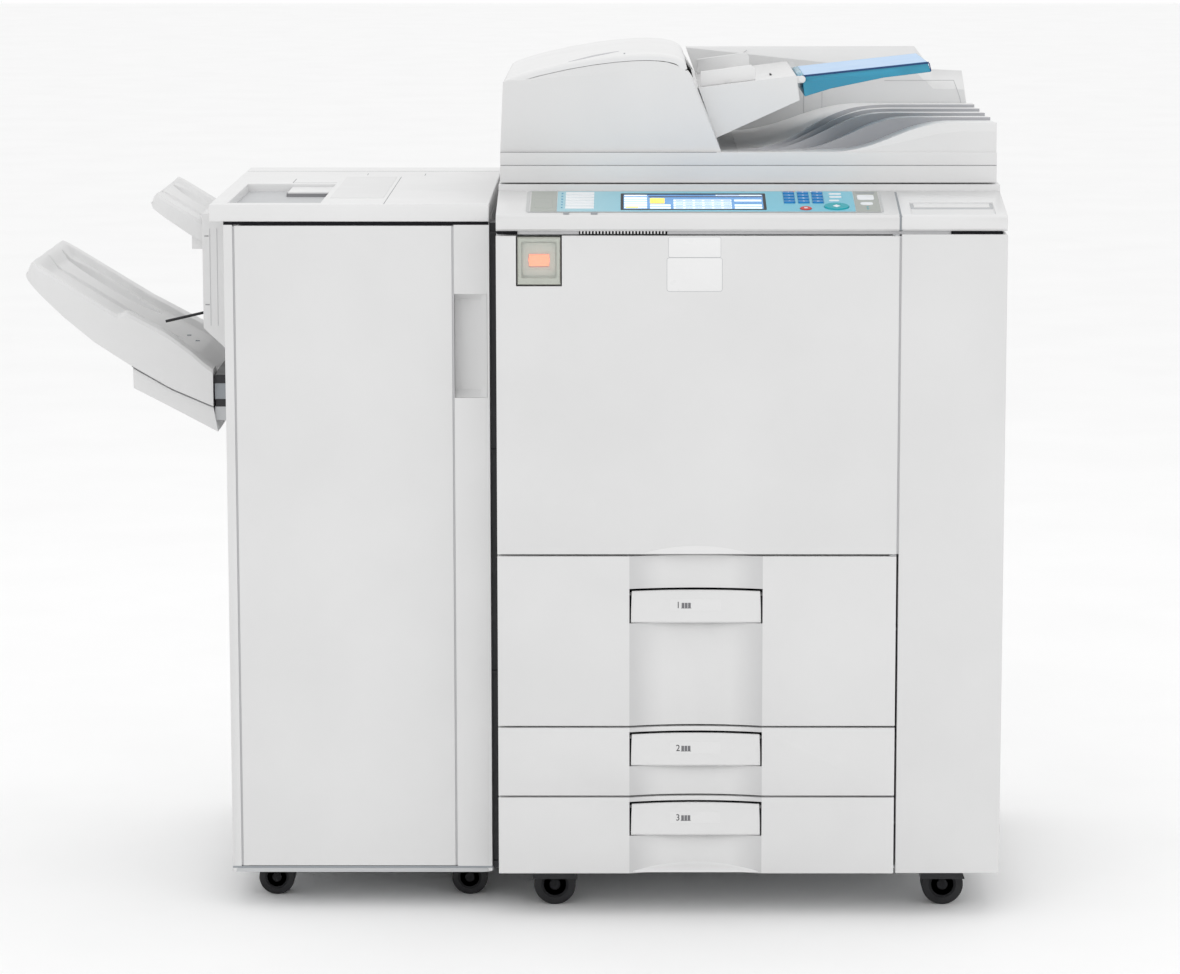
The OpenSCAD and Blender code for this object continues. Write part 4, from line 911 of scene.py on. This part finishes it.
def panel_lip():
    """Teeth and painted shadow of the air inlet, the seams under the lip in painted soft shade and the plate on
    the end cap.
    """
    teeth = [box_shape([114.0 + 4.5 * k, 8.0, 945.2], [116.0 + 4.5 * k, 9.4, 949.2]) for k in range(26)]
    many("inlet_teeth", teeth, WHITE)
    many("inlet_shadow", [box_shape([112.0, 9.5, 944.6], [231.0, 12.0, 949.2]),
                          box_shape([1.0, 7.0, 945.0], [29.0, 8.4, 948.9]),
                          box_shape([614.0, 7.0, 945.0], [684.0, 8.4, 948.9])], GAP_SHADOW)
    many("lip_seam", [box_shape([29.2, 9.0, 944.6], [111.8, 12.0, 948.9]),
                      box_shape([231.2, 9.0, 944.6], [613.8, 12.0, 948.9])], SEAM)
    many("end_cap_frame", [on_panel(bar(562.0, 674.0, 41.0, 69.0, 3.0), -3.2, -2.4, 0.3)], PALE_GREY)
    many("end_cap_plate", [on_panel(bar(566.0, 669.0, 46.0, 65.0, 2.0), -2.6, -1.0, 0.6)], WHITE_CAP)


panel_film()
number_caps()
round_caps()
small_keys()
screen_picture()
panel_lip()


# ---- between the cabinet and the finisher

def docking_strip():
    """The dark docking frame that fills the gap beside the cabinet."""
    strip = box_shape([-10.4, 66.0, 52.0], [-0.6, 100.0, 955.0])
    ribs = [box_shape([-10.4, 62.0, z], [-0.6, 66.0, z + 3.0]) for z in (60.0, 330.0, 640.0, 940.0)]
    many("docking_strip", [strip, *ribs], DARK)


docking_strip()

# ---- seams: soft shade and shadow painted in the gaps

def seam_strips():
    """Pale strips set back in the gaps around the finisher's door and beside the front door, painted soft shade
    in place of the gaps' dark shadow; a dark strip under the finisher's lid is painted shadow.
    """
    low, high = span("finisher_door")
    y = low[1]
    x0, x1 = low[0], high[0]
    light = [box_shape([x0 - 3.2, y + 1.6, low[2]], [x0 + 0.4, y + 3.0, high[2]]),
             box_shape([x1 - 0.4, y + 1.6, low[2]], [x1 + 3.2, y + 3.0, high[2]])]
    many("finisher_seams", light, SEAM)
    top = span("finisher_lid")[0][2]
    many("lid_seam", [box_shape([-371.8, y - 0.05, top - 4.2], [-11.2, y + 3.0, top - 0.2])], GAP_SHADOW)
    door_low, door_high = span("front_door")
    right = door_high[0]
    many("column_seam", [box_shape([right - 0.4, 2.4, door_low[2]], [right + 3.4, 5.0, door_high[2]])],
         SEAM)
    panel = [box_shape([right - 0.4, 6.4, 950.0], [right + 3.4, 9.0, 970.0])]
    panel.append(on_panel(bar(right - 0.4, right + 3.4, 4.0, 124.0, 0.2), -3.0, -1.2, 0.1))
    many("end_cap_seam", panel, MID_GREY)


def base_skirt():
    """The finisher's rounded base plate, a little proud of its casing, with a dark line above it."""
    outline = rounded(364.0, 622.5, 14.0, 6, (-191.5, 361.0))
    many("base_skirt", [flat_shape(outline, 50.2, 55.6, 1.6, plane=TOP)], PALE_GREY)
    many("base_line", [box_shape([-372.2, 51.75, 55.6], [-11.0, 53.0, 58.2])], MID_GREY)


seam_strips()
base_skirt()


def grip_scoop():
    """The finisher's finger grip: a scoop whose depth is 21 (1 - u^2.2) mm, deepest beside the door, in a darker
    grey that is painted shade.
    """
    u, v = np.meshgrid(np.linspace(0.0, 1.0, 25), np.linspace(0.0, 1.0, 17))
    x = -59.0 + 44.6 * u
    z = 716.2 + 142.6 * v
    ends = 1.0 - np.clip(1.0 - np.minimum(v, 1.0 - v) / 0.08, 0.0, 1.0) ** 2.5
    depth = (1.2 + 19.5 * (1.0 - u ** 2.2)) * (0.25 + 0.75 * ends)
    face = np.stack([x, 52.0 + depth, z], -1)
    back = face + [0.0, 1.4, 0.0]
    many("grip_scoop", [shell_shape(face, back)], PAINTED_SHADE)


grip_scoop()


# ---- finisher's lid

def lid_details():
    """The lid's tray floor with its shelf and hook-shaped line, the seams across the top and the pad."""
    top = span("finisher_lid")[1][2]

    def level(outline, low, high, edge):
        """A plate that lies flat between two heights measured from the lid's top."""
        return flat_shape(outline, top + low, top + high, edge, plane=TOP)

    floor = np.array([[-367.6, 79.4], [-242.4, 79.4], [-242.4, 384.6], [-367.6, 384.6]])
    many("lid_tray", [level(floor, -12.4, -11.2, 0.2)], PALE_GREY, "finisher_lid")
    lines = [bar(-154.6, -153.6, 60.0, 501.0, 0.2), bar(-305.4, -304.2, 401.0, 466.0, 0.2),
             bar(-305.0, -241.0, 400.0, 401.4, 0.2), bar(-206.5, -205.5, 534.0, 560.0, 0.2),
             bar(-121.5, -120.5, 525.0, 560.0, 0.2), bar(-388.0, -14.0, 600.0, 601.4, 0.2)]
    many("lid_seams", [level(o, -0.3, 0.12, 0.05) for o in lines], SEAM_DARK, "finisher_lid")
    shelf = bar(-304.0, -243.0, 297.0, 384.2, 1.0)
    many("lid_shelf", [level(shelf, -11.5, -4.5, 0.6)], WHITE_CAP, "finisher_lid")
    hook = [bar(-305.6, -304.0, 295.4, 384.4, 0.2), bar(-304.0, -243.0, 295.4, 297.0, 0.2)]
    many("lid_hook", [level(o, -11.5, -6.5, 0.1) for o in hook], SEAM_DARK, "finisher_lid")
    pad = np.array([[-234.0, 150.0], [-160.0, 150.0], [-160.0, 500.0], [-234.0, 500.0]])
    many("lid_pad", [level(pad, -0.5, 0.5, 0.4)], WHITE, "finisher_lid")


lid_details()


# ---- stacking trays

def lens(u, v, u0, u1, v0, half):
    """1 inside a lens from u0 to u1 about v0, fading to 0 at its rim: max(0, 1 - (v - v0)^2 / w(u)^2)."""
    a = np.clip((u - u0) / (u1 - u0), 0.0, 1.0)
    w = np.maximum(half * np.sin(math.pi * a) ** 0.75, 1e-4)
    return np.maximum(0.0, 1.0 - ((v - v0) / w) ** 2)


TRAY_RIM = 5.0


def tray_shell(top_line, bottom_line, y0, y1, tip_round, bed, grooves, bulge):
    """A stacking tray: a top line and a bottom line from tip to root, carried across y0..y1.

    The bed lies lower than the two side rims, each groove is a lens cut into it, the tip's corners are
    round in plan and the rims' edges are rounded.
    """
    rows, columns = 121, 97
    top = resample(top_line, rows)
    bottom = resample(bottom_line, rows)
    s = np.linspace(0.0, 1.0, rows)[:, None]
    t = np.broadcast_to(np.linspace(0.0, 1.0, columns)[None, :], (rows, columns))
    length = np.linalg.norm(top[-1] - top[0])
    near = np.clip(s * length / tip_round, 0.0, 1.0)
    inset = tip_round * (1.0 - np.sqrt(np.maximum(1.0 - (1.0 - near) ** 2, 0.0)))
    y = y0 + inset + (y1 - y0 - 2.0 * inset) * t
    side = np.minimum(t, 1.0 - t) * (y1 - y0)
    sunk = bed * smooth((side - 22.0 - 26.0 * s) / 9.0) * smooth((s - 0.07) / 0.06)
    cut = np.zeros_like(sunk)
    for u0, u1, v0, half, depth in grooves:
        cut = cut + depth * lens(s, t, u0, u1, v0, half)
    lift = bulge * smooth((s - 0.50) / 0.05) * smooth((0.97 - s) / 0.25)
    lift = lift * smooth((70.0 - t * (y1 - y0)) / 40.0)
    lobes = 4.0 * np.cos(3.0 * math.pi * t) ** 2 * smooth((0.06 - s) / 0.06)
    z = top[:, 1][:, None] - rounding(side, TRAY_RIM) - sunk - cut + lift - lobes
    x = np.broadcast_to(top[:, 0][:, None], y.shape)
    upper = np.stack([x, y, z], -1)
    lower = np.stack([np.broadcast_to(bottom[:, 0][:, None], y.shape), y,
                      np.broadcast_to(bottom[:, 1][:, None], y.shape)], -1)
    return shell_shape(upper, lower)


def ribbon(points, width, y, thick=0.35):
    """A narrow strip along a polyline of [x, z] on a plane of constant y, thick towards the front."""
    line = np.asarray(points, float)
    along = np.gradient(line, axis=0)
    along /= np.linalg.norm(along, axis=1, keepdims=True)
    across = np.stack([-along[:, 1], along[:, 0]], 1) * width / 2
    pair = np.stack([line - across, line + across], 1)
    face = np.stack([pair[..., 0], np.full(pair.shape[:2], y - thick), pair[..., 1]], -1)
    return shell_shape(face, face + [0.0, thick + 0.6, 0.0])


def lower_stack_tray():
    """The lower tray: long grooved bed, lower housing, root bracket and the arms that ride in the casing."""
    low, high = span("lower_tray")
    y0, y1 = low[1], high[1]
    top = [(-665.0, 876.0), (-656.0, 887.0), (-524.0, 806.0), (-432.0, 757.0), (-404.0, 736.0)]
    bottom = [(-668.0, 868.0), (-663.0, 861.0), (-612.0, 811.0), (-569.0, 775.0), (-517.0, 741.0),
              (-464.0, 710.0), (-404.0, 684.0)]
    grooves = [(0.09, 0.62, 0.74, 0.10, 20.0), (0.06, 0.80, 0.40, 0.04, 10.0), (0.28, 0.74, 0.15, 0.06, 9.0)]
    body = tray_shell(top, bottom, y0, y1, 42.0, 9.0, grooves, 11.0)
    under = resample([(-516.0, 738.0), (-463.0, 707.5), (-404.0, 682.0)], 13)
    foot = resample([(-515.5, 710.0), (-456.0, 679.0), (-398.0, 648.0)], 13)
    ys = np.linspace(y0 + 3.0, y1 - 3.0, 9)
    keel = shell_shape(swept(under, ys), swept(foot, ys))
    tray = many("lower_tray_body", [body, keel], WHITE, "lower_tray")
    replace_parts(tray, "lower_tray")
    arms = [box_shape([-400.0, y + 3.0, 660.0], [-363.0, y + 17.0, 692.0]) for y in (y0 + 35.0, y1 - 55.0)]
    arms.append(box_shape([-403.0, y0 + 8.0, 716.0], [-377.0, y1 - 8.0, 728.0]))
    arms.append(box_shape([-401.0, y0 + 8.0, 683.0], [-379.0, y1 - 8.0, 694.0]))
    many("lower_tray_arms", arms, DARK, "lower_tray")
    root = box_shape([-402.0, y0 + 7.5, 664.0], [-377.0, y1 - 8.0, 683.0])
    many("lower_tray_foot", [root], PALE_GREY, "lower_tray")
    bracket = box_shape([-402.0, y0 + 7.0, 694.0], [-378.0, y1 - 8.0, 716.0])
    many("lower_tray_bracket", [bracket], MID_GREY, "lower_tray")
    many("lower_tray_seam", [ribbon(resample(bottom[-3:], 12), 0.9, y0)], SEAM_DARK, "lower_tray")
    ticks = [box_shape([x, y0 + 120.0, z], [x + 6.0, y0 + 122.0, z + 1.5])
             for x, z in ((-452.0, 769.5), (-440.0, 761.5))]
    many("lower_tray_ticks", ticks, MID_GREY, "lower_tray")


def upper_stack_tray():
    """The fixed upper tray with its grooved bed and the bracket under its root."""
    low, high = span("upper_tray")
    top = [(-488.0, 974.0), (-479.0, 983.0), (-412.0, 942.0)]
    bottom = [(-489.5, 968.0), (-485.0, 961.0), (-434.0, 926.0), (-412.0, 914.0)]
    grooves = [(0.14, 0.98, 0.72, 0.11, 13.0), (0.08, 0.98, 0.32, 0.05, 8.0)]
    body = tray_shell(top, bottom, low[1], high[1], 32.0, 6.0, grooves, 0.0)
    bracket = box_shape([-431.0, low[1] + 4.0, 905.0], [-412.5, low[1] + 22.0, 923.0])
    far = box_shape([-431.0, high[1] - 22.0, 905.0], [-412.5, high[1] - 4.0, 923.0])
    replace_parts(many("upper_tray_body", [body, bracket, far], WHITE), "upper_tray")


def side_block_lines():
    """Upright seams, small catches and the exit rollers on the finisher's side block."""
    y = span("finisher_casing")[0][1] + 128.0
    lines = [box_shape([x, y - 0.25, 800.0], [x + 0.8, y + 1.0, 936.0]) for x in (-404.0, -394.0)]
    many("side_block_seams", lines, SEAM)
    ticks = [box_shape([-411.0, y - 0.3, z], [-405.0, y + 1.0, z + 1.2]) for z in (829.0, 925.0)]
    many("side_block_ticks", ticks, SEAM_DARK)
    slot_x, slot_z = -404.0, 850.0
    rollers = [rod(6.0, 26.0, [slot_x, place, slot_z], Y, Z, 24) for place in (230.0, 290.0, 350.0, 410.0)]
    rollers.append(rod(2.4, 270.0, [slot_x, 215.0, slot_z], Y, Z, 16))
    many("exit_rollers", rollers, DARK)


lower_stack_tray()
upper_stack_tray()
side_block_lines()


# ---- document feeder

def feeder_lid():
    """The feeder's top cover: a profile carried front to back, with rounded front and rear edges."""
    low, high = span("feeder_top_cover")
    top = high[2]
    line, out, under = lid_lines()
    r = 4.0
    a = np.linspace(0.0, math.pi / 2, 7)
    front = low[1] + 0.1
    back = high[1] - 0.1
    ys = np.concatenate([front + r - r * np.cos(a), np.linspace(front + 12.0, back - 12.0, 12),
                         back - r + r * np.cos(a[::-1])])
    drop = np.concatenate([r - r * np.sin(a), np.zeros(12), r - r * np.sin(a[::-1])])
    upper = swept(line, ys)
    upper[..., [0, 2]] -= out[:, None, :] * drop[None, :, None]
    lid = many("feeder_lid", [shell_shape(upper, swept(under, ys))], WHITE_CAP, "feeder_top_cover")
    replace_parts(lid, "feeder_top_cover")

    def on_lid(x):
        """The height of the lid's face at x."""
        return np.interp(x, line[:, 0], line[:, 1])

    # A crescent of painted shade on the lid's face.
    u, v = np.meshgrid(np.linspace(0.0, 1.0, 25), np.linspace(-1.0, 1.0, 7))
    x = 96.0 + 70.0 * u
    y = 165.0 + 88.0 * u + (1.0 + 15.0 * np.sin(math.pi * u) ** 0.8) * v
    face = np.stack([x, y, on_lid(x) + 0.25], -1)
    many("lid_crescent", [shell_shape(face, face - [0.0, 0.0, 1.0])], PAINTED_SHADE_DEEP, "feeder_top_cover")
    slot = box_shape([172.0, 172.0, top - 4.0], [174.2, 190.0, top - 1.3])
    many("lid_notch", [slot], MID_GREY, "feeder_top_cover")


def exit_tray_top():
    """The feeder's exit tray: bands that rise in S-curves to the right, each a step behind the last.

    Band k leaves the table and rises in a smooth step that starts at starts[k] and is lengths[k] long; the curves
    between the bands run from the front left to ends[k] at the right.
    """
    starts = [459.0, 404.0, 356.0, 342.0, 328.0]
    lengths = [168.0, 172.0, 185.0, 188.0, 190.0]
    ends = [145.0, 250.0, 340.0, 430.0, 520.0, 559.5]
    count = 101
    x = np.linspace(330.0, 685.7, count)
    g = 0.10 + 0.90 * smooth((x - 356.0) / 205.0)
    curves = [145.2 + (e - 145.0) * g for e in ends[:-1]] + [np.full(count, ends[-1])]
    rows, ridge_shapes = [], []
    table, rise, steps = 1045.4, 40.2, 7
    for k in range(5):
        h = smooth((x - starts[k]) / lengths[k])
        h = rise * (0.80 * h + 0.20 * np.sin(h * math.pi / 2) ** 2)
        fall = (4.2 if k < 4 else 0.0) * smooth((x - starts[k] + 20.0) / 90.0)
        for t in np.linspace(0.0, 1.0, steps):
            y = curves[k] + 0.5 * (k > 0) + (curves[k + 1] - curves[k] - 0.5 * (k > 0)) * t
            rows.append(np.stack([x, y, table + np.maximum(h - fall * t, 0.0)], -1))
    top = np.stack(rows)
    bottom = top.copy()
    bottom[..., 2] = 1043.0
    many("exit_tray_bands", [shell_shape(top, bottom)], WHITE_CAP, "feeder")
    # Each riser between two bands is a strip of painted shade.
    for k in range(1, 5):
        last, first = rows[steps * k - 1], rows[steps * k]
        band = np.stack([last + [0.0, -0.15, 0.1], first + [0.0, -0.65, 0.1]])
        band[1, :, 2] = np.maximum(band[1, :, 2], band[0, :, 2] + 0.2)
        ridge_shapes.append(shell_shape(band, band + [0.0, 0.8, 0.0]))
    many("exit_tray_risers", ridge_shapes, PAINTED_SHADE_DEEP, "feeder")


def feeder_seams():
    """Grooves between the feeder's layers and the lines and slot of its rear cover."""
    y = span("feeder_base")[0][1]
    layers = [box_shape([2.4, y - 0.1, 1026.6], [685.6, y + 1.0, 1027.5]),
              box_shape([2.4, y - 0.1, 1044.6], [300.0, y + 1.0, 1045.3])]
    many("layer_grooves", layers, SEAM_DARK, "feeder")
    rear = 560.0
    diagonal = resample([(353.0, 1163.0), (333.0, 1148.0)], 4)
    lines = [ribbon(diagonal, 0.9, rear), ribbon(resample([(437.0, 1100.0), (437.0, 1048.0)], 3), 1.2, rear),
             ribbon(resample([(464.0, 1104.0), (464.0, 1050.0)], 3), 0.8, rear),
             ribbon(resample([(556.0, 1118.6), (658.0, 1118.6)], 3), 0.9, rear),
             ribbon(resample([(658.0, 1118.6), (667.0, 1095.0), (673.0, 1066.0)], 5), 0.9, rear)]
    many("rear_cover_lines", lines, SEAM, "feeder")
    slot = [box_shape([322.0, rear - 0.4, 1147.0], [342.0, rear + 1.0, 1149.6]),
            box_shape([328.0, rear - 0.4, 1140.5], [336.0, rear + 1.0, 1147.2])]
    many("rear_cover_slot", slot, SEAM_DARK, "feeder")
    many("table_slot", [box_shape([376.0, 236.0, 1143.4], [378.4, 262.0, 1146.6])], DARK, "feeder")
    button = [[0.01, -1.2], [4.4, -1.2], [4.4, 0.1], [3.9, 0.5], [0.01, 0.7]]
    many("table_pin_caps", [lathe(button, [418.0, 165.2, 1143.5], -Y, X, 28),
                            lathe(button, [418.0, 519.8, 1143.5], Y, X, 28)], WHITE_CAP, "feeder")


def extender_details():
    """The blue extender's paler top and its dark front and end edges."""
    low, high = span("tray_extender")
    y0, y1 = low[1], high[1]
    x0, z0 = 421.0, 1149.1
    x1, z1 = 590.0, 1167.3
    xs, ys = np.meshgrid(np.linspace(x0, x1, 24), np.linspace(y0 + 1.4, y1 - 1.4, 12), indexing="ij")
    zs = z0 + (z1 - z0) * (xs - x0) / (x1 - x0)
    sheet = np.stack([xs, ys, zs + 0.25], -1)
    many("extender_top", [shell_shape(sheet, sheet - [0.0, 0.0, 0.8])], PALE_BLUE, "tray_extender")
    edge = resample([(x0 - 2.0, z0 - 1.5), (x1 + 3.0, z1 - 1.1)], 12)
    end = ribbon(np.array([(593.5, 1165.5), (596.0, 1154.5)]), 1.4, y0 + 0.1)
    many("extender_edge", [ribbon(edge, 2.6, y0 + 0.05), end], NAVY, "tray_extender")


feeder_lid()
exit_tray_top()
feeder_seams()
extender_details()


# ---- backs, sides and fixings

def screw(place, plane, r=4.2):
    """A pan-head screw: a low dome with a cross recess ring."""
    w = np.cross(*plane)
    a = np.linspace(0.0, math.pi / 2, 6)
    dome = np.stack([r - 1.2 + 1.2 * np.cos(a), 1.0 + 0.8 * np.sin(a) - 0.6], 1)
    profile = np.concatenate([[[0.01, -1.0], [r, -1.0]], dome, [[1.5, 1.2], [1.2, 0.6], [0.01, 0.6]]])
    return lathe(profile, np.asarray(place, float), w, plane[0], 20)


def louvres(u0, u1, v0, v1, pitch, origin, plane):
    """Hooded slots: for each row a dark plate of painted shade in the opening and a lip above it; returns
    (openings, lips).
    """
    middle = (u0 + u1) / 2
    openings, lips = [], []
    for v in np.arange(v0, v1, pitch):
        slot = rounded(u1 - u0, pitch * 0.42, pitch * 0.2, 3, (middle, v))
        lip = rounded(u1 - u0 + 3.0, 1.4, 0.6, 2, (middle, v + pitch * 0.30))
        openings.append(flat_shape(slot, -0.6, 0.08, 0.04, origin, plane))
        lips.append(flat_shape(lip, -0.6, 0.4, 0.3, origin, plane))
    return openings, lips


def joins(outlines, origin, plane):
    """Hairlines where covers meet."""
    return [flat_shape(outline, -0.5, 0.12, 0.05, origin, plane) for outline in outlines]


def cabinet_back():
    """Louvres, a round fan grille, seams and screws on the cabinet's back."""
    origin = np.array([0.0, 640.0, 0.0])
    dark, lips = [], []
    fields = ((-270.0, -90.0, 700.0, 860.0), (-610.0, -470.0, 560.0, 700.0), (-270.0, -90.0, 240.0, 340.0))
    for field in fields:
        a, b = louvres(*field, 11.0, origin, BACK)
        dark += a
        lips += b
    centre = np.array([-400.0, 780.0])
    for r in (12.0, 22.0, 32.0, 42.0, 52.0):
        outer, inner = disc(r + 2.6, 64, centre), disc(r - 2.6, 64, centre)
        dark.append(pierced_shape(outer, [inner], -0.6, 0.1, origin, BACK))
    many("back_slots", dark, GAP_SHADOW)
    many("back_lips", lips, WHITE)
    lines = [bar(-688.0, -2.0, 470.0, 471.4, 0.3), bar(-345.7, -344.3, 64.0, 470.0, 0.3),
             bar(-688.0, -2.0, 905.0, 906.4, 0.3)]
    many("back_seams", joins(lines, origin, BACK), SEAM_DARK)
    heights = (90.0, 450.0, 490.0, 885.0, 925.0)
    screws = [screw((x, origin[1], z), BACK) for x in (20.0, 330.0, 360.0, 670.0) for z in heights]
    many("back_screws", screws, GROUND_STEEL)


def right_side():
    """Louvres, seams and screws on the right cover and a finger recess on the bypass tray."""
    x = span("right_cover")[1][0] - 0.5
    origin = np.array([x, 0.0, 0.0])
    dark, lips = louvres(420.0, 600.0, 120.0, 220.0, 10.0, origin, RIGHT)
    a, b = louvres(380.0, 600.0, 840.0, 900.0, 10.0, origin, RIGHT)
    many("side_slots", dark + a, GAP_SHADOW)
    many("side_lips", lips + b, WHITE)
    lines = [bar(40.0, 636.0, 330.0, 331.2, 0.3), bar(40.0, 636.0, 520.0, 521.2, 0.3)]
    many("side_seams", joins(lines, origin, RIGHT), SEAM_DARK)
    screws = [screw((x - 1.0, y, z), RIGHT, 3.6) for y in (60.0, 620.0) for z in (90.0, 500.0, 920.0)]
    many("side_screws", screws, GROUND_STEEL)
    well = bar(284.0, 396.0, 732.0, 760.0, 7.0)
    cup = pierced_shape(bar(280.0, 400.0, 728.0, 764.0, 9.0), [well], -0.5, 0.4, origin, RIGHT)
    many("bypass_grip", [cup], PALE_GREY, "bypass_tray")
    floor = flat_shape(well, -0.5, 0.06, 0.02, origin, RIGHT)
    many("bypass_grip_floor", [floor], MID_GREY, "bypass_tray")


def finisher_back():
    """Seams, screws, louvres and the cable socket on the finisher's back."""
    origin = np.array([0.0, span("finisher_casing")[1][1] - 0.5, 0.0])
    dark, lips = louvres(70.0, 200.0, 760.0, 850.0, 10.0, origin, BACK)
    many("finisher_slots", dark, GAP_SHADOW)
    many("finisher_lips", lips, WHITE)
    lines = [bar(20.0, 362.0, 500.0, 501.2, 0.3), bar(20.0, 362.0, 900.0, 901.2, 0.3)]
    many("finisher_back_seams", joins(lines, origin, BACK), SEAM_DARK)
    many("finisher_screws", [screw((-u, origin[1] - 0.9, v), BACK, 3.8) for u in (28.0, 190.0, 355.0)
                             for v in (80.0, 480.0, 520.0, 935.0)], GROUND_STEEL)
    plug = bar(35.0, 55.0, 305.0, 325.0, 2.0)
    socket = pierced_shape(bar(30.0, 60.0, 300.0, 330.0, 3.0), [plug], -0.5, 0.4, origin, BACK)
    many("finisher_socket", [socket], DARK)


cabinet_back()
right_side()
finisher_back()


def caster_caps():
    """Hub caps on the wheels' outer faces: a ring, a sunken web and a raised boss."""
    for node, r in (("left_caster_wheel", 29.0), ("right_caster_wheel", 29.0), ("finisher_left_wheel", 25.0),
                    ("finisher_right_wheel", 25.0)):
        low, high = span(node)
        cx, cz = (low[0] + high[0]) / 2, (low[2] + high[2]) / 2
        profile = [[0.01, -0.4], [r * 0.66, -0.4], [r * 0.66, 0.5], [r * 0.58, 0.55], [r * 0.54, 0.1],
                   [r * 0.26, 0.1], [r * 0.22, 0.5], [0.01, 0.55]]
        caps = [lathe(profile, [cx, low[1] + 0.1, cz], -Y, X, 40),
                lathe(profile, [cx, high[1] - 0.1, cz], Y, X, 40)]
        many(node + "_caps", caps, HUB, body_of(node))


caster_caps()

# ---- stage, light and camera

def stage():
    """A pale floor far wider than the machine."""
    mesh = bpy.data.meshes.new("floor")
    reach = 30.0
    mesh.from_pydata([(-reach, -reach, 0), (reach, -reach, 0), (reach, reach, 0), (-reach, reach, 0)],
                     [], [(0, 1, 2, 3)])
    floor = bpy.data.objects.new("floor", mesh)
    bpy.context.scene.collection.objects.link(floor)
    material, tree, shader = new_material("floor")
    tree.links.new(ramp(tree, object_noise(tree, 3.0), 0.3, 0.7, (0.93, 0.93, 0.93), (0.95, 0.95, 0.95)),
                   shader.inputs["Base Color"])
    shader.inputs["Roughness"].default_value = 0.9
    shader.inputs["Specular IOR Level"].default_value = 0.05
    mesh.materials.append(material)


def area_light(name, place, target, size, power, colour=(1.0, 1.0, 1.0)):
    """A soft rectangular light at place, aimed at target."""
    data = bpy.data.lights.new(name, "AREA")
    data.shape = "RECTANGLE"
    data.size, data.size_y = size
    data.energy = power
    data.color = colour
    lamp = bpy.data.objects.new(name, data)
    bpy.context.scene.collection.objects.link(lamp)
    place, target = np.array(place), np.array(target)
    back = (place - target) / np.linalg.norm(place - target)
    right = np.cross(Z, back)
    right /= np.linalg.norm(right)
    up = np.cross(back, right)
    rotation = np.stack([right, up, back], 1)
    matrix = np.eye(4)
    matrix[:3, :3] = rotation
    matrix[:3, 3] = place
    lamp.matrix_world = matrix.T.tolist()


def camera():
    """A long lens in front of the machine, a little above it, looking slightly down."""
    data = bpy.data.cameras.new("camera")
    data.lens = 125.0
    data.sensor_width = 36.0
    data.shift_x = -0.034
    data.clip_end = 100.0
    eye = bpy.data.objects.new("camera", data)
    bpy.context.scene.collection.objects.link(eye)
    eye.location = at([181.0, -5500.0, 1482.0])
    eye.rotation_euler = (math.radians(90.0 - 9.1), 0.0, 0.0)
    bpy.context.scene.camera = eye


stage()
area_light("key", (-1.6, -4.5, 3.6), (0.0, 0.0, 0.6), (3.0, 2.5), 22.0)
area_light("fill", (3.5, -3.5, 2.2), (0.0, 0.0, 0.6), (3.0, 3.0), 8.0)
area_light("top", (0.2, 0.6, 4.0), (0.0, 0.0, 0.8), (3.0, 3.0), 10.0)
camera()
world = bpy.data.worlds.new("world")
world.use_nodes = True
world.node_tree.nodes["Background"].inputs["Color"].default_value = (1.0, 1.0, 1.0, 1.0)
world.node_tree.nodes["Background"].inputs["Strength"].default_value = 1.0
bpy.context.scene.world = world
bpy.context.scene.view_settings.view_transform = "Standard"
